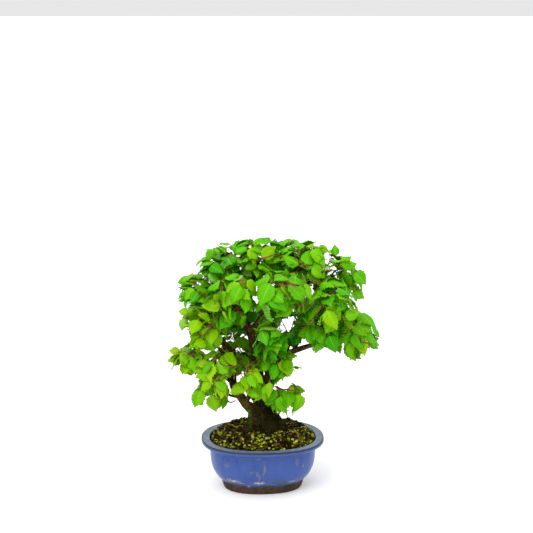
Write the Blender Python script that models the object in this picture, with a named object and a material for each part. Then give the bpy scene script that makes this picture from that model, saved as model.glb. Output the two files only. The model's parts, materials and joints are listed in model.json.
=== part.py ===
"""A small hornbeam, grown as a bonsai, in its oval glazed pot.

The part is in metres with +Z up.  Its origin is the centre of the pot's flat underside, +X runs
along the pot's length and -Y is the front.  Sizes below are in millimetres, and each mesh is
scaled to metres as it is made.
"""

import math
import random
from collections import namedtuple

import bmesh
import bpy
from mathutils import Vector
from mathutils.bvhtree import BVHTree

MILLIMETRE = 0.001
GAP = 0.3

# Pot: an oval bowl with a flat rim, a thin lip and a low unglazed foot
POT_LENGTH = 177.0
POT_WIDTH = 146.0
POT_HEIGHT = 73.5
POT_SIDES = 32
OVAL_POWER = 2.3
RIM_WIDTH = 12.0
LIP_THICKNESS = 5.5
LIP_ROUND = 1.6
NECK_INSET = 12.2
NECK_DEPTH = 2.0
FOOT_HEIGHT = 14.0
FOOT_INSET = 27.6
FOOT_DRAFT = 4.5
FOOT_STEP = 0.8
BODY_FOOT_INSET = 26.9
BODY_BULGE = 3.8
BODY_RINGS = 7
BODY_RING_CROWDING = 1.6
WALL = 7.5
FLOOR = 10.0
FLOOR_CORNER = 9.0
INNER_EDGE = 66.5
INNER_SHOULDER = 61.0
INNER_RINGS = 3

# Soil: fills the pot, mounded up to a flat patch under the trunk and a little more at the back
SOIL_EDGE = 70.5
GROUND = 84.0
SOIL_PATCH = 0.56
BACK_HEAP = 3.0
BACK_HEAP_DEPTH = (15.0, 42.0)
BACK_HEAP_SHARES = (0.86, 1.0)
SOIL_RINGS = 4
SOIL_ROUGHNESS = 0.7

# Trunk: flares into root ridges at the ground and leans left to its fork
TRUNK_FOOT = (4.0, 2.0)
TRUNK_FORK = (-8.0, 3.0)
TRUNK_HEIGHT = 46.0
TRUNK_BASE_RADIUS = 31.0
TRUNK_FORK_RADIUS = 10.4
TRUNK_FLARE_HEIGHT = 28.0
TRUNK_LEAN_GROWTH = 0.5
TRUNK_DEPTH = 0.82
TRUNK_SIDES = 14
TRUNK_RINGS = 7
TRUNK_RING_CROWDING = 1.3
ROOT_RIDGES = 5
ROOT_RIDGE_DEPTH = 0.16
ROOT_RIDGE_TURN = 0.7
ROOT_SPREAD = 0.4
ROOT_SPREAD_TURN = 0.5
FORK_RIDGE_SHARE = 0.25

LIMB_SIDES = 6
STEM_RADIUS = 4.5
STEM_RINGS = 6
BOUGH_RINGS = 4
LIMB_CROOK = 0.3
LIMB_CLEARANCE = 0.6

CROWN_CENTRE = Vector((10.0, 0.0, 232.0))

# A limb starts at a share of its parent's length and ends at a point or in a mass of leaves
Limb = namedtuple("Limb", "name parent start end bow radius tip_radius")
LIMBS = (
    Limb("left_stem", "trunk", 0.38, (-43, -8, 206), (-16, -4, -9), 7.6, 4.6),
    Limb("main_stem", "trunk", 0.86, (-17, 2, 232), (3, 2, 0), 9.6, 6.8),
    Limb("right_stem", "trunk", 0.72, (27, 0, 194), (-7, -3, 4), 7.2, 5.0),
    Limb("right_bough", "right_stem", 0.97, "right_mass", (0, -4, 4), 5.0, 2.4),
    Limb("crown_left_bough", "main_stem", 0.97, "top_left_mass", (-5, 0, -3), 5.6, 2.4),
    Limb("crown_right_bough", "main_stem", 0.94, "top_right_mass", (-2, 2, 4), 5.4, 2.3),
    Limb("upper_left_bough", "left_stem", 0.97, "left_high_mass", (-4, 0, -4), 4.0, 2.0),
    Limb("top_bough", "crown_left_bough", 0.30, "top_middle_mass", (3, 2, 0), 3.2, 1.9),
    Limb("upper_right_bough", "crown_right_bough", 0.62, "upper_right_mass", (0, 0, 5), 3.4, 2.0),
    Limb("top_back_left_bough", "crown_left_bough", 0.55, "top_back_left_mass", (0, 4, 0), 3.0, 1.8),
    Limb("top_back_right_bough", "crown_right_bough", 0.50, "top_back_right_mass", (0, 4, 0), 3.0, 1.8),
    Limb("front_left_high_bough", "crown_left_bough", 0.25, "front_left_high_mass", (0, -3, -2), 3.0, 1.8),
    Limb("front_high_bough", "crown_right_bough", 0.40, "front_high_mass", (0, -3, -2), 3.0, 1.8),
    Limb("front_right_high_bough", "upper_right_bough", 0.40, "front_right_high_mass", (0, 0, 2), 2.6, 1.7),
    Limb("left_front_bough", "left_stem", 0.80, "left_front_mass", (0, 0, 3), 3.2, 1.9),
    Limb("left_back_bough", "left_stem", 0.72, "left_back_mass", (0, 0, 3), 3.2, 1.9),
    Limb("right_front_bough", "right_bough", 0.55, "right_front_mass", (0, 0, 1), 2.8, 1.7),
    Limb("right_middle_bough", "right_bough", 0.14, "right_middle_mass", (0, 0, 1), 2.6, 1.7),
    Limb("right_back_bough", "right_bough", 0.25, "right_back_mass", (0, 0, 3), 3.2, 1.9),
    Limb("front_middle_bough", "main_stem", 0.68, "front_middle_mass", (0, 0, 2), 2.8, 1.7),
    Limb("back_middle_bough", "main_stem", 0.76, "back_middle_mass", (0, 0, 3), 3.6, 2.0),
    Limb("far_left_bough", "left_stem", 0.62, "far_left_mass", (0, 0, 2), 3.0, 1.7),
    Limb("left_low_bough", "left_stem", 0.50, "left_low_mass", (0, 0, 2), 3.0, 1.8),
    Limb("left_bottom_bough", "left_stem", 0.34, "left_bottom_mass", (0, 0, 2), 3.0, 1.7),
    Limb("front_low_bough", "left_stem", 0.26, "front_low_mass", (0, -2, 2), 2.8, 1.7),
    Limb("right_low_bough", "right_stem", 0.16, "right_low_mass", (0, 0, 2), 2.8, 1.7),
    Limb("right_inner_bough", "right_stem", 0.55, "right_inner_mass", (0, 0, 2), 2.8, 1.7),
    Limb("back_low_bough", "main_stem", 0.22, "back_low_mass", (0, 0, 3), 3.6, 2.0),
)

# A mass of leaves keeps to an oval space, cut flat where it meets the spaces of its neighbours
Mass = namedtuple("Mass", "name centre radii leaf_length tint")
MASSES = (
    Mass("top_left_mass", (-60, -10, 327), (35, 45, 32), 34, 0.42),
    Mass("top_middle_mass", (-6, 2, 337), (43, 46, 32), 35, 0.48),
    Mass("top_right_mass", (58, -8, 330), (44, 45, 33), 37, 0.55),
    Mass("upper_right_mass", (102, -6, 311), (44, 45, 44), 39, 0.54),
    Mass("top_back_left_mass", (-37, 64, 311), (47, 43, 41), 34, 0.40),
    Mass("top_back_right_mass", (43, 66, 311), (47, 43, 41), 36, 0.45),
    Mass("front_left_high_mass", (-46, -69, 292), (41, 39, 39), 35, 0.52),
    Mass("front_high_mass", (19, -72, 300), (44, 39, 41), 41, 0.48),
    Mass("front_right_high_mass", (91, -58, 281), (43, 40, 40), 41, 0.50),
    Mass("left_high_mass", (-88, 2, 286), (34, 44, 37), 33, 0.48),
    Mass("right_mass", (132, -2, 222), (38, 43, 40), 40, 0.50),
    Mass("left_front_mass", (-87, -46, 248), (39, 41, 34), 33, 0.68),
    Mass("left_back_mass", (-71, 50, 240), (42, 43, 38), 33, 0.55),
    Mass("right_front_mass", (76, -42, 246), (37, 39, 35), 41, 0.46),
    Mass("right_middle_mass", (44, 14, 230), (32, 42, 28), 34, 0.36),
    Mass("right_back_mass", (86, 50, 240), (43, 42, 39), 37, 0.42),
    Mass("front_middle_mass", (4, -66, 240), (32, 36, 35), 36, 0.40),
    Mass("back_middle_mass", (-18, 80, 228), (44, 39, 41), 34, 0.40),
    Mass("far_left_mass", (-107, -8, 193), (30, 38, 26), 29, 0.68),
    Mass("left_low_mass", (-64, -50, 185), (35, 39, 35), 32, 0.70),
    Mass("left_bottom_mass", (-75, -12, 146), (29, 36, 33), 30, 0.62),
    Mass("front_low_mass", (-21, -52, 171), (37, 36, 31), 29, 0.76),
    Mass("right_low_mass", (28, -22, 140), (32, 37, 29), 30, 0.65),
    Mass("right_inner_mass", (19, -34, 192), (34, 40, 28), 32, 0.60),
    Mass("back_low_mass", (-26, 56, 178), (47, 41, 39), 33, 0.60),
)
SPACE_MARGIN = 0.4
ENTRY_DEPTH = 2.0
SHORTEST_BOUGH = 17.0
HEART_DEPTH = 0.22
LIMB_STEPS = 24

# Growth inside a mass: a stem, twigs spread by the golden angle, leaves on alternate sides
TWIGS = 7
TWIG_SIDES = 3
TWIG_RADIUS = 1.1
TWIG_TIP_RADIUS = 0.85
STEM_LEAD = 3.0
STEM_BEND = 0.55
STEM_SIDES = 5
STEM_STEP = 0.92
STEM_TIP_RADIUS = 1.2
TWIGGED_SHARE = 0.6
TWIG_REACH = 0.66
TWIG_REACH_SPREAD = (0.9, 1.15)
TWIG_DEPTH = 4.0
SHORTEST_TWIG = 6.0
TWIG_SHORTENING = 0.9
TWIG_SPREAD = math.radians(118)
TWIG_ARCH = 0.10
STRAIGHT_TWIG = 24.0
GOLDEN_ANGLE = math.radians(137.5)
LEAF_SPACING = 9.0
BARE_SHARE = 0.25
LEAF_TRIES = 18
LEAF_SIZE_SPREAD = (0.86, 1.14)
LEAF_LOOSENESS = 0.30
LEAF_LOOSENESS_GAIN = 0.08
LEAF_WIDTH = 0.74
LEAF_WIDEST = 0.44
LEAF_THICKNESS = 0.040
LEAF_SINK = 0.15
LEAF_SHRINK = 0.975
LEAF_DROOP = 0.10

# What pulls a leaf's axis and its face, beside its twig's own direction
SIDE_PULL = 0.75
TWIG_PULL = 0.45
OUTWARD_PULL = 0.25
OWN_PULL = 0.30
HANG = 0.34
OUTER_HANG = 0.36
FACE_OUTWARD = 0.35
FACE_OWN = 0.55
FACE_UP = 0.50
FACE_LOOSENESS = 0.70
UPRIGHT_TWIG = 0.2

POT_GLAZE = (0.034, 0.072, 0.26)
SOIL_BROWN = (0.060, 0.055, 0.015)
BARK_BROWN = (0.036, 0.027, 0.009)
LEAF_DEEP = (0.050, 0.260, 0.003)
LEAF_BRIGHT = (0.220, 0.510, 0.006)
GLAZE_ROUGHNESS = 0.25
SOIL_SURFACE_ROUGHNESS = 0.95
BARK_ROUGHNESS = 0.88
LEAF_ROUGHNESS = 0.5


def clear_scene():
    """Remove whatever objects the file already holds."""
    for obj in list(bpy.data.objects):
        bpy.data.objects.remove(obj, do_unlink=True)


def paint(obj, colour, roughness):
    """Give an object a material of its own."""
    material = bpy.data.materials.new(obj.name + "_finish")
    material.use_nodes = True
    shader = material.node_tree.nodes["Principled BSDF"]
    shader.inputs["Base Color"].default_value = (*colour, 1.0)
    shader.inputs["Roughness"].default_value = roughness
    shader.inputs["Metallic"].default_value = 0.0
    obj.data.materials.clear()
    obj.data.materials.append(material)


def add_object(name, points, faces, collection=None):
    """Make a mesh object from points in millimetres."""
    mesh = bpy.data.meshes.new(name)
    mesh.from_pydata([point * MILLIMETRE for point in points], [], faces)
    obj = bpy.data.objects.new(name, mesh)
    (collection or bpy.context.scene.collection).objects.link(obj)
    return obj


def loft(rings):
    """Join rings of points into one closed body with flat ends."""
    count = len(rings[0])
    points = [point for ring in rings for point in ring]
    faces = [list(reversed(range(count)))]
    for level in range(len(rings) - 1):
        low = level * count
        high = low + count
        for step in range(count):
            following = (step + 1) % count
            faces.append([low + step, low + following, high + following, high + step])
    last = (len(rings) - 1) * count
    faces.append(list(range(last, last + count)))
    return points, faces


def oval(inset, height):
    """A ring of the pot's plan shape, set in from the edge of its lip."""
    half_length = POT_LENGTH / 2 - inset
    half_width = POT_WIDTH / 2 - inset
    ring = []
    for step in range(POT_SIDES):
        angle = math.tau * step / POT_SIDES
        across = math.copysign(abs(math.cos(angle)) ** (2 / OVAL_POWER), math.cos(angle))
        deep = math.copysign(abs(math.sin(angle)) ** (2 / OVAL_POWER), math.sin(angle))
        ring.append(Vector((half_length * across, half_width * deep, height)))
    return ring


def body_inset(height):
    """How far the bulging outer wall stands in from the edge of the lip."""
    share = (height - FOOT_HEIGHT) / (POT_HEIGHT - LIP_THICKNESS - FOOT_HEIGHT)
    return NECK_INSET + (BODY_FOOT_INSET - NECK_INSET) * (1 - share) ** BODY_BULGE


def wall_inset(height):
    """How far the inside of the wall stands in from the edge of the lip."""
    return max(body_inset(height) + WALL, RIM_WIDTH)


def levels(low, high, count):
    """Evenly spaced values from low to high."""
    return [low + (high - low) * step / (count - 1) for step in range(count)]


def build_pot():
    """The glazed bowl: foot, bulging wall, lip, flat rim and the hollow inside."""
    neck_height = POT_HEIGHT - LIP_THICKNESS
    rings = [oval(FOOT_INSET + FOOT_DRAFT, 0.0), oval(FOOT_INSET, FOOT_HEIGHT - FOOT_STEP)]
    for share in levels(0.0, 1.0, BODY_RINGS):
        height = FOOT_HEIGHT + (neck_height - NECK_DEPTH - FOOT_HEIGHT) * share ** BODY_RING_CROWDING
        rings.append(oval(body_inset(height), height))
    rings.append(oval(LIP_ROUND, neck_height))
    rings.append(oval(0.0, neck_height + LIP_ROUND))
    rings.append(oval(0.0, POT_HEIGHT - LIP_ROUND))
    rings.append(oval(LIP_ROUND, POT_HEIGHT))
    rings.append(oval(RIM_WIDTH, POT_HEIGHT))
    rings.append(oval(RIM_WIDTH, INNER_EDGE))
    for height in levels(INNER_SHOULDER, FLOOR + FLOOR_CORNER, INNER_RINGS):
        rings.append(oval(wall_inset(height), height))
    rings.append(oval(wall_inset(FLOOR + FLOOR_CORNER) + FLOOR_CORNER, FLOOR))
    points, faces = loft(rings)
    pot = add_object("pot", points, faces)
    paint(pot, POT_GLAZE, GLAZE_ROUGHNESS)
    return pot


def smooth_step(low, high, value):
    """0 below low, 1 above high, and a smooth rise between them."""
    share = min(max((value - low) / (high - low), 0.0), 1.0)
    return share * share * (3 - 2 * share)


def heap(share, deep):
    """How much higher the soil is heaped behind the trunk, at a share of the way to its edge."""
    return BACK_HEAP * smooth_step(*BACK_HEAP_DEPTH, deep) * (1 - smooth_step(*BACK_HEAP_SHARES, share))


def build_soil():
    """The soil that fills the pot, is heaped at the back and has a flat patch under the trunk."""
    rng = random.Random("soil")
    corner = FLOOR + FLOOR_CORNER
    rings = [oval(wall_inset(corner) + FLOOR_CORNER + GAP, FLOOR + GAP)]
    for height in levels(corner, INNER_SHOULDER, INNER_RINGS):
        rings.append(oval(wall_inset(height) + GAP, height + GAP))
    rings.append(oval(RIM_WIDTH + GAP, INNER_EDGE + GAP))
    edge = oval(RIM_WIDTH + GAP, SOIL_EDGE)
    rings.append(edge)
    for level in range(1, SOIL_RINGS + 1):
        share = level / SOIL_RINGS
        scale = 1 + (SOIL_PATCH - 1) * share
        height = SOIL_EDGE + (GROUND - SOIL_EDGE) * math.sin(share * math.pi / 2)
        bumps = SOIL_ROUGHNESS if level < SOIL_RINGS else 0.0
        ring = []
        for point in edge:
            bump = rng.uniform(-bumps, bumps)
            if level < SOIL_RINGS:
                bump += heap(scale, point.y * scale)
            ring.append(Vector((point.x * scale, point.y * scale, height + bump)))
        rings.append(ring)
    points, faces = loft(rings)
    soil = add_object("soil", points, faces)
    paint(soil, SOIL_BROWN, SOIL_SURFACE_ROUGHNESS)
    return soil


def trunk_axis(share):
    """The middle of the trunk at a share of its height, which leans more towards the fork."""
    lean = share * (1 - TRUNK_LEAN_GROWTH + TRUNK_LEAN_GROWTH * share)
    across = TRUNK_FOOT[0] + (TRUNK_FORK[0] - TRUNK_FOOT[0]) * lean
    deep = TRUNK_FOOT[1] + (TRUNK_FORK[1] - TRUNK_FOOT[1]) * lean
    return Vector((across, deep, GROUND + GAP + share * TRUNK_HEIGHT))


def trunk_rings(swell):
    """Rings of the trunk, flaring and ridged at the foot, all moved out by swell."""
    rings = []
    for share in levels(0.0, 1.0, TRUNK_RINGS):
        share = share ** TRUNK_RING_CROWDING
        middle = trunk_axis(share)
        flare = math.exp(-share * TRUNK_HEIGHT / TRUNK_FLARE_HEIGHT)
        radius = TRUNK_FORK_RADIUS + (TRUNK_BASE_RADIUS - TRUNK_FORK_RADIUS) * flare
        ring = []
        for step in range(TRUNK_SIDES):
            angle = math.tau * step / TRUNK_SIDES
            ridge = math.cos(ROOT_RIDGES * angle + ROOT_RIDGE_TURN)
            ridge += ROOT_SPREAD * math.cos(2 * angle - ROOT_SPREAD_TURN)
            reach = radius * (1 + ROOT_RIDGE_DEPTH * ridge * (FORK_RIDGE_SHARE + flare)) + swell
            across = math.cos(angle) * reach
            deep = math.sin(angle) * reach * TRUNK_DEPTH
            ring.append(middle + Vector((across, deep, 0)))
        rings.append(ring)
    rings[-1] = [point + Vector((0, 0, swell)) for point in rings[-1]]
    return rings


def bend(start, end, bow, steps):
    """Points on a smooth curve whose middle stands off the straight line by bow."""
    control = (start + end) / 2 + bow * 2
    points = []
    for step in range(steps + 1):
        share = step / steps
        rest = 1 - share
        points.append(start * rest * rest + control * (2 * share * rest) + end * (share * share))
    return points


def point_along(route, share):
    """The point at a share of a route's length, its points being evenly spaced."""
    place = min(max(share, 0.0), 1.0) * (len(route) - 1)
    index = min(int(place), len(route) - 2)
    return route[index].lerp(route[index + 1], place - index)


def tube(route, radii, sides):
    """A closed tapering tube along a route, with flat ends."""
    rings = []
    side = None
    for index, point in enumerate(route):
        before = route[max(index - 1, 0)]
        after = route[min(index + 1, len(route) - 1)]
        along = (after - before).normalized()
        if side is None:
            side = along.orthogonal()
        side = (side - along * side.dot(along)).normalized()
        other = along.cross(side)
        ring = []
        for step in range(sides):
            angle = math.tau * step / sides
            ring.append(point + (side * math.cos(angle) + other * math.sin(angle)) * radii[index])
        rings.append(ring)
    return loft(rings)


def ellipsoid_reach(mass, direction):
    """How far a mass's oval reaches from its centre in a direction."""
    return 1 / math.sqrt(sum((direction[axis] / mass.radii[axis]) ** 2 for axis in range(3)))


def mass_space(mass):
    """The flat sides that part a mass's space from those of its neighbours."""
    planes = []
    centre = Vector(mass.centre)
    for other in MASSES:
        if other.name == mass.name:
            continue
        towards = Vector(other.centre) - centre
        distance = towards.length
        if distance > max(mass.radii) + max(other.radii):
            continue
        towards.normalize()
        mine = ellipsoid_reach(mass, towards)
        theirs = ellipsoid_reach(other, towards)
        limit = (distance * distance + mine * mine - theirs * theirs) / (2 * distance)
        planes.append((towards, limit - SPACE_MARGIN))
    return planes


def inside(mass, planes, point, depth):
    """Whether a point lies in a mass's space, at least depth from its sides."""
    offset = point - Vector(mass.centre)
    if sum((offset[axis] / (mass.radii[axis] - depth)) ** 2 for axis in range(3)) > 1:
        return False
    return all(offset.dot(normal) <= limit - depth for normal, limit in planes)


def outward(point):
    """The direction away from the middle of the crown."""
    return (point - CROWN_CENTRE).normalized()


def limb_route(limb, routes, spaces):
    """A limb's own points, then those that run on inside its mass as a stem."""
    start = point_along(routes[limb.parent], limb.start)
    rng = random.Random("crook " + limb.name)
    if isinstance(limb.end, str):
        mass = next(mass for mass in MASSES if mass.name == limb.end)
        centre = Vector(mass.centre)
        heart = centre + (start - centre).normalized() * HEART_DEPTH * min(mass.radii)
        points = bend(start, heart, Vector(limb.bow), LIMB_STEPS)
        entry = len(points) - 1
        while (points[entry - 1] - start).length > SHORTEST_BOUGH and inside(
            mass, spaces[mass.name], points[entry - 1], ENTRY_DEPTH
        ):
            entry -= 1
        own = points[:entry + 1]
        stem = points[entry:]
    else:
        own = bend(start, Vector(limb.end), Vector(limb.bow), LIMB_STEPS)
        stem = []
    count = STEM_RINGS if limb.radius > STEM_RADIUS else BOUGH_RINGS
    route = [point_along(own, share) for share in levels(0.0, 1.0, count)]
    for index in range(1, count - 1):
        crook = limb.radius * LIMB_CROOK
        route[index] += Vector([rng.uniform(-crook, crook) for axis in range(3)])
    return route, stem


def limb_shape(limb, route, swell):
    """A limb's tube, moved out by swell, and lengthened by it at the tip."""
    radii = levels(limb.radius + swell, limb.tip_radius + swell, len(route))
    if swell:
        ahead = (route[-1] - route[-2]).normalized()
        route = route[:-1] + [route[-1] + ahead * swell]
    return tube(route, radii, LIMB_SIDES)


def tree_of(points, faces):
    """A search tree that tells whether two shapes cross."""
    return BVHTree.FromPolygons(points, faces)


def evaluated_mesh(obj):
    """A copy of an object's mesh with its modifiers applied."""
    depsgraph = bpy.context.evaluated_depsgraph_get()
    depsgraph.update()
    return bpy.data.meshes.new_from_object(obj.evaluated_get(depsgraph))


def bodies_of(bm):
    """The separate bodies in a mesh, as lists of faces."""
    seen = set()
    bodies = []
    for first in bm.faces:
        if first in seen:
            continue
        seen.add(first)
        body = [first]
        for face in body:
            for edge in face.edges:
                for neighbour in edge.link_faces:
                    if neighbour not in seen:
                        seen.add(neighbour)
                        body.append(neighbour)
        bodies.append(body)
    return bodies


def body_volume(faces):
    """The signed volume that a body's triangles enclose."""
    total = 0.0
    for face in faces:
        first, second, third = (vert.co for vert in face.verts)
        total += first.dot(second.cross(third)) / 6
    return total


def keep_main_body(mesh):
    """Drop loose scraps and fill sealed hollows; say whether what is left is closed."""
    bm = bmesh.new()
    bm.from_mesh(mesh)
    bmesh.ops.triangulate(bm, faces=bm.faces)
    bodies = sorted(bodies_of(bm), key=body_volume)
    scraps = [face for body in bodies[:-1] for face in body]
    bmesh.ops.delete(bm, geom=scraps, context="FACES")
    closed = bool(bm.faces) and all(len(edge.link_faces) == 2 for edge in bm.edges)
    bm.to_mesh(mesh)
    bm.free()
    return closed


def apply_booleans(obj, modifiers):
    """Apply Booleans by EXACT, or by MANIFOLD where that leaves a mesh open."""
    for solver in ("EXACT", "MANIFOLD"):
        for modifier in modifiers:
            modifier.solver = solver
        mesh = evaluated_mesh(obj)
        if keep_main_body(mesh):
            break
    obj.modifiers.clear()
    obj.data = mesh


def remove_objects(objects):
    """Remove helper objects once a Boolean has been applied."""
    for obj in list(objects):
        bpy.data.objects.remove(obj, do_unlink=True)


def cut_clear(obj, cutters):
    """Cut an object back from the swollen shapes of what it grows out of."""
    modifiers = []
    for cutter in cutters:
        cutter.hide_render = True
        cutter.display_type = "WIRE"
        modifier = obj.modifiers.new("cut", "BOOLEAN")
        modifier.operation = "DIFFERENCE"
        modifier.object = cutter
        modifiers.append(modifier)
    apply_booleans(obj, modifiers)
    remove_objects(cutters)


def build_limbs(spaces):
    """Trunk, stems and boughs, each cut clear of those before it."""
    trunk_points, trunk_faces = loft(trunk_rings(0.0))
    trunk = add_object("trunk", trunk_points, trunk_faces)
    paint(trunk, BARK_BROWN, BARK_ROUGHNESS)
    routes = {"trunk": [trunk_axis(share) for share in levels(0.0, 1.0, TRUNK_RINGS)]}
    stems = {}
    swollen = {"trunk": loft(trunk_rings(GAP))}
    clear_shapes = [loft(trunk_rings(LIMB_CLEARANCE))]
    for limb in LIMBS:
        route, stem = limb_route(limb, routes, spaces)
        routes[limb.name] = route
        if stem:
            stems[limb.end] = (stem, (route[-1] - route[-2]).normalized(), limb.tip_radius)
        points, faces = limb_shape(limb, route, 0.0)
        obj = add_object(limb.name, points, faces)
        shape = tree_of(points, faces)
        cutters = []
        for name, (cutter_points, cutter_faces) in swollen.items():
            if shape.overlap(tree_of(cutter_points, cutter_faces)):
                cutters.append(add_object("cutter_" + name, cutter_points, cutter_faces))
        cut_clear(obj, cutters)
        paint(obj, BARK_BROWN, BARK_ROUGHNESS)
        swollen[limb.name] = limb_shape(limb, route, GAP)
        clear_shapes.append(limb_shape(limb, route, LIMB_CLEARANCE))
    return stems, [tree_of(points, faces) for points, faces in clear_shapes]


def leaf_shape(root, axis, normal, length):
    """A pointed blade of six faces, ridged along its top, whose root is sunk into its twig."""
    side = normal.cross(axis)
    half_width = length * LEAF_WIDTH / 2
    widest = root + axis * (length * LEAF_WIDEST)
    points = [
        root - axis * LEAF_SINK,
        widest - side * half_width,
        root + axis * length - normal * (length * LEAF_DROOP),
        widest + side * half_width,
        widest + normal * (length * LEAF_THICKNESS),
    ]
    faces = [[0, 1, 4], [1, 2, 4], [2, 3, 4], [3, 0, 4], [0, 3, 1], [1, 3, 2]]
    return points, faces


def leaf_pose(rng, mass, point, along, hand, looseness):
    """Where a leaf points and faces: out from its twig, drooping, its face up and outward."""
    away = outward(point)
    own = (point - Vector(mass.centre)).normalized()
    side = along.cross(Vector((0, 0, 1)))
    if side.length < UPRIGHT_TWIG:
        side = along.orthogonal()
    side.normalize()
    loose = Vector([rng.uniform(-looseness, looseness) for part in range(3)])
    droop = HANG + OUTER_HANG * (1 - max(away.z, 0.0))
    axis = side * (hand * SIDE_PULL) + along * TWIG_PULL + away * OUTWARD_PULL + own * OWN_PULL
    axis += loose - Vector((0, 0, droop))
    axis.normalize()
    loose = Vector([rng.uniform(-FACE_LOOSENESS, FACE_LOOSENESS) for part in range(3)])
    face = away * FACE_OUTWARD + own * FACE_OWN + Vector((0, 0, FACE_UP)) + loose
    normal = face - axis * face.dot(axis)
    normal.normalize()
    return axis, normal


def twig_routes(rng, mass, planes, stem):
    """The twigs of a mass, spread by the golden angle round the way it faces."""
    centre = Vector(mass.centre)
    facing = outward(centre)
    side = facing.orthogonal().normalized()
    other = facing.cross(side)
    turn = rng.uniform(0, math.tau)
    routes = []
    for index in range(TWIGS):
        share = (index + 0.5) / TWIGS
        polar = math.acos(1 - share * (1 - math.cos(TWIG_SPREAD)))
        angle = turn + index * GOLDEN_ANGLE
        direction = facing * math.cos(polar)
        direction += (side * math.cos(angle) + other * math.sin(angle)) * math.sin(polar)
        reach = ellipsoid_reach(mass, direction) * TWIG_REACH * rng.uniform(*TWIG_REACH_SPREAD)
        target = centre + direction * reach
        while not inside(mass, planes, target, TWIG_DEPTH) and reach > SHORTEST_TWIG:
            reach *= TWIG_SHORTENING
            target = centre + direction * reach
        start = point_along(stem, 1.0 - TWIGGED_SHARE * index / (TWIGS - 1))
        arch = Vector((0, 0, TWIG_ARCH)) * (target - start).length
        pieces = 2 if (target - start).length > STRAIGHT_TWIG else 1
        routes.append(bend(start, target, arch, pieces))
    return routes


def grow_mass(mass, planes, stem, ahead, stem_radius, limb_trees):
    """Stem, twigs and leaves of a mass, as lists of shapes."""
    rng = random.Random("growth " + mass.name)
    entry = stem[0] + ahead * GAP
    stem_route = [entry, entry + ahead * STEM_LEAD, point_along(stem, STEM_BEND), stem[-1]]
    stem_radii = levels(stem_radius * STEM_STEP, STEM_TIP_RADIUS, len(stem_route))
    stem_shape = tube(stem_route, stem_radii, STEM_SIDES)
    twigs = []
    leaves = []
    blades = []
    for route in twig_routes(rng, mass, planes, stem_route):
        radii = levels(TWIG_RADIUS, TWIG_TIP_RADIUS, len(route))
        shape = tube(route, radii, TWIG_SIDES)
        shape_tree = tree_of(*shape)
        free = all(inside(mass, planes, point, 0.0) for point in shape[0])
        if not free or any(shape_tree.overlap(tree) for tree in limb_trees):
            continue
        twigs.append(shape)
        blades.append((point_along(route, 0.5), shape_tree))
        length = sum((route[step + 1] - route[step]).length for step in range(len(route) - 1))
        count = max(2, round(length / LEAF_SPACING))
        for number in range(count):
            share = 1.0 - number * LEAF_SPACING / length
            if share < BARE_SHARE:
                break
            point = point_along(route, share)
            along = (route[-1] - route[0]).normalized()
            hand = (1 if number % 2 else -1) if number else 0
            leaf = place_leaf(rng, mass, planes, point, along, hand, blades[:-1], limb_trees)
            if leaf:
                leaves.append(leaf)
                blades.insert(0, (leaf[0][4], tree_of(*leaf)))
    return stem_shape, twigs, leaves


def place_leaf(rng, mass, planes, point, along, hand, blades, limb_trees):
    """The first pose of a leaf that stays in its space and crosses nothing, or None."""
    size = mass.leaf_length * rng.uniform(*LEAF_SIZE_SPREAD)
    for attempt in range(LEAF_TRIES):
        looseness = LEAF_LOOSENESS + LEAF_LOOSENESS_GAIN * attempt
        axis, normal = leaf_pose(rng, mass, point, along, hand, looseness)
        length = size * LEAF_SHRINK ** attempt
        shape = leaf_shape(point, axis, normal, length)
        if not all(inside(mass, planes, corner, 0.0) for corner in shape[0]):
            continue
        tree = tree_of(*shape)
        if any(tree.overlap(limb_tree) for limb_tree in limb_trees):
            continue
        near = [blade for middle, blade in blades if (middle - point).length < 2 * mass.leaf_length]
        if any(tree.overlap(blade) for blade in near):
            continue
        return shape
    return None


def build_mass(mass, planes, stem, ahead, stem_radius, limb_trees):
    """One mass of leaves, joined into a single body by a Boolean on a collection."""
    stem_shape, twigs, leaves = grow_mass(mass, planes, stem, ahead, stem_radius, limb_trees)
    obj = add_object(mass.name, *stem_shape)
    collection = bpy.data.collections.new(mass.name + "_growth")
    bpy.context.scene.collection.children.link(collection)
    for shape in twigs + leaves:
        add_object("growth", *shape, collection)
    modifier = obj.modifiers.new("join", "BOOLEAN")
    modifier.operation = "UNION"
    modifier.operand_type = "COLLECTION"
    modifier.collection = collection
    apply_booleans(obj, [modifier])
    remove_objects(collection.objects)
    bpy.data.collections.remove(collection)
    mix = mass.tint
    colour = [deep + (bright - deep) * mix for deep, bright in zip(LEAF_DEEP, LEAF_BRIGHT)]
    paint(obj, colour, LEAF_ROUGHNESS)
    return len(leaves)


def build():
    """The whole part."""
    clear_scene()
    build_pot()
    build_soil()
    spaces = {mass.name: mass_space(mass) for mass in MASSES}
    stems, limb_trees = build_limbs(spaces)
    total = 0
    for mass in MASSES:
        total += build_mass(mass, spaces[mass.name], *stems[mass.name], limb_trees)
    print("leaves:", total)


build()
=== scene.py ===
"""The looks of a small hornbeam, grown as a bonsai, in its oval glazed pot.

Sizes are in millimetres, as in the part's source, and each mesh is scaled to metres as it is made.
The trunk, limbs and masses of leaves follow the source's rule, written again here, and the masses
are carried on to finer twigs and leaves.
"""

import json
import math
import random
from collections import namedtuple
from itertools import product

import bmesh
import bpy
import numpy as np
from mathutils import Matrix, Vector, noise
from mathutils.bvhtree import BVHTree
from mathutils.kdtree import KDTree

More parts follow.
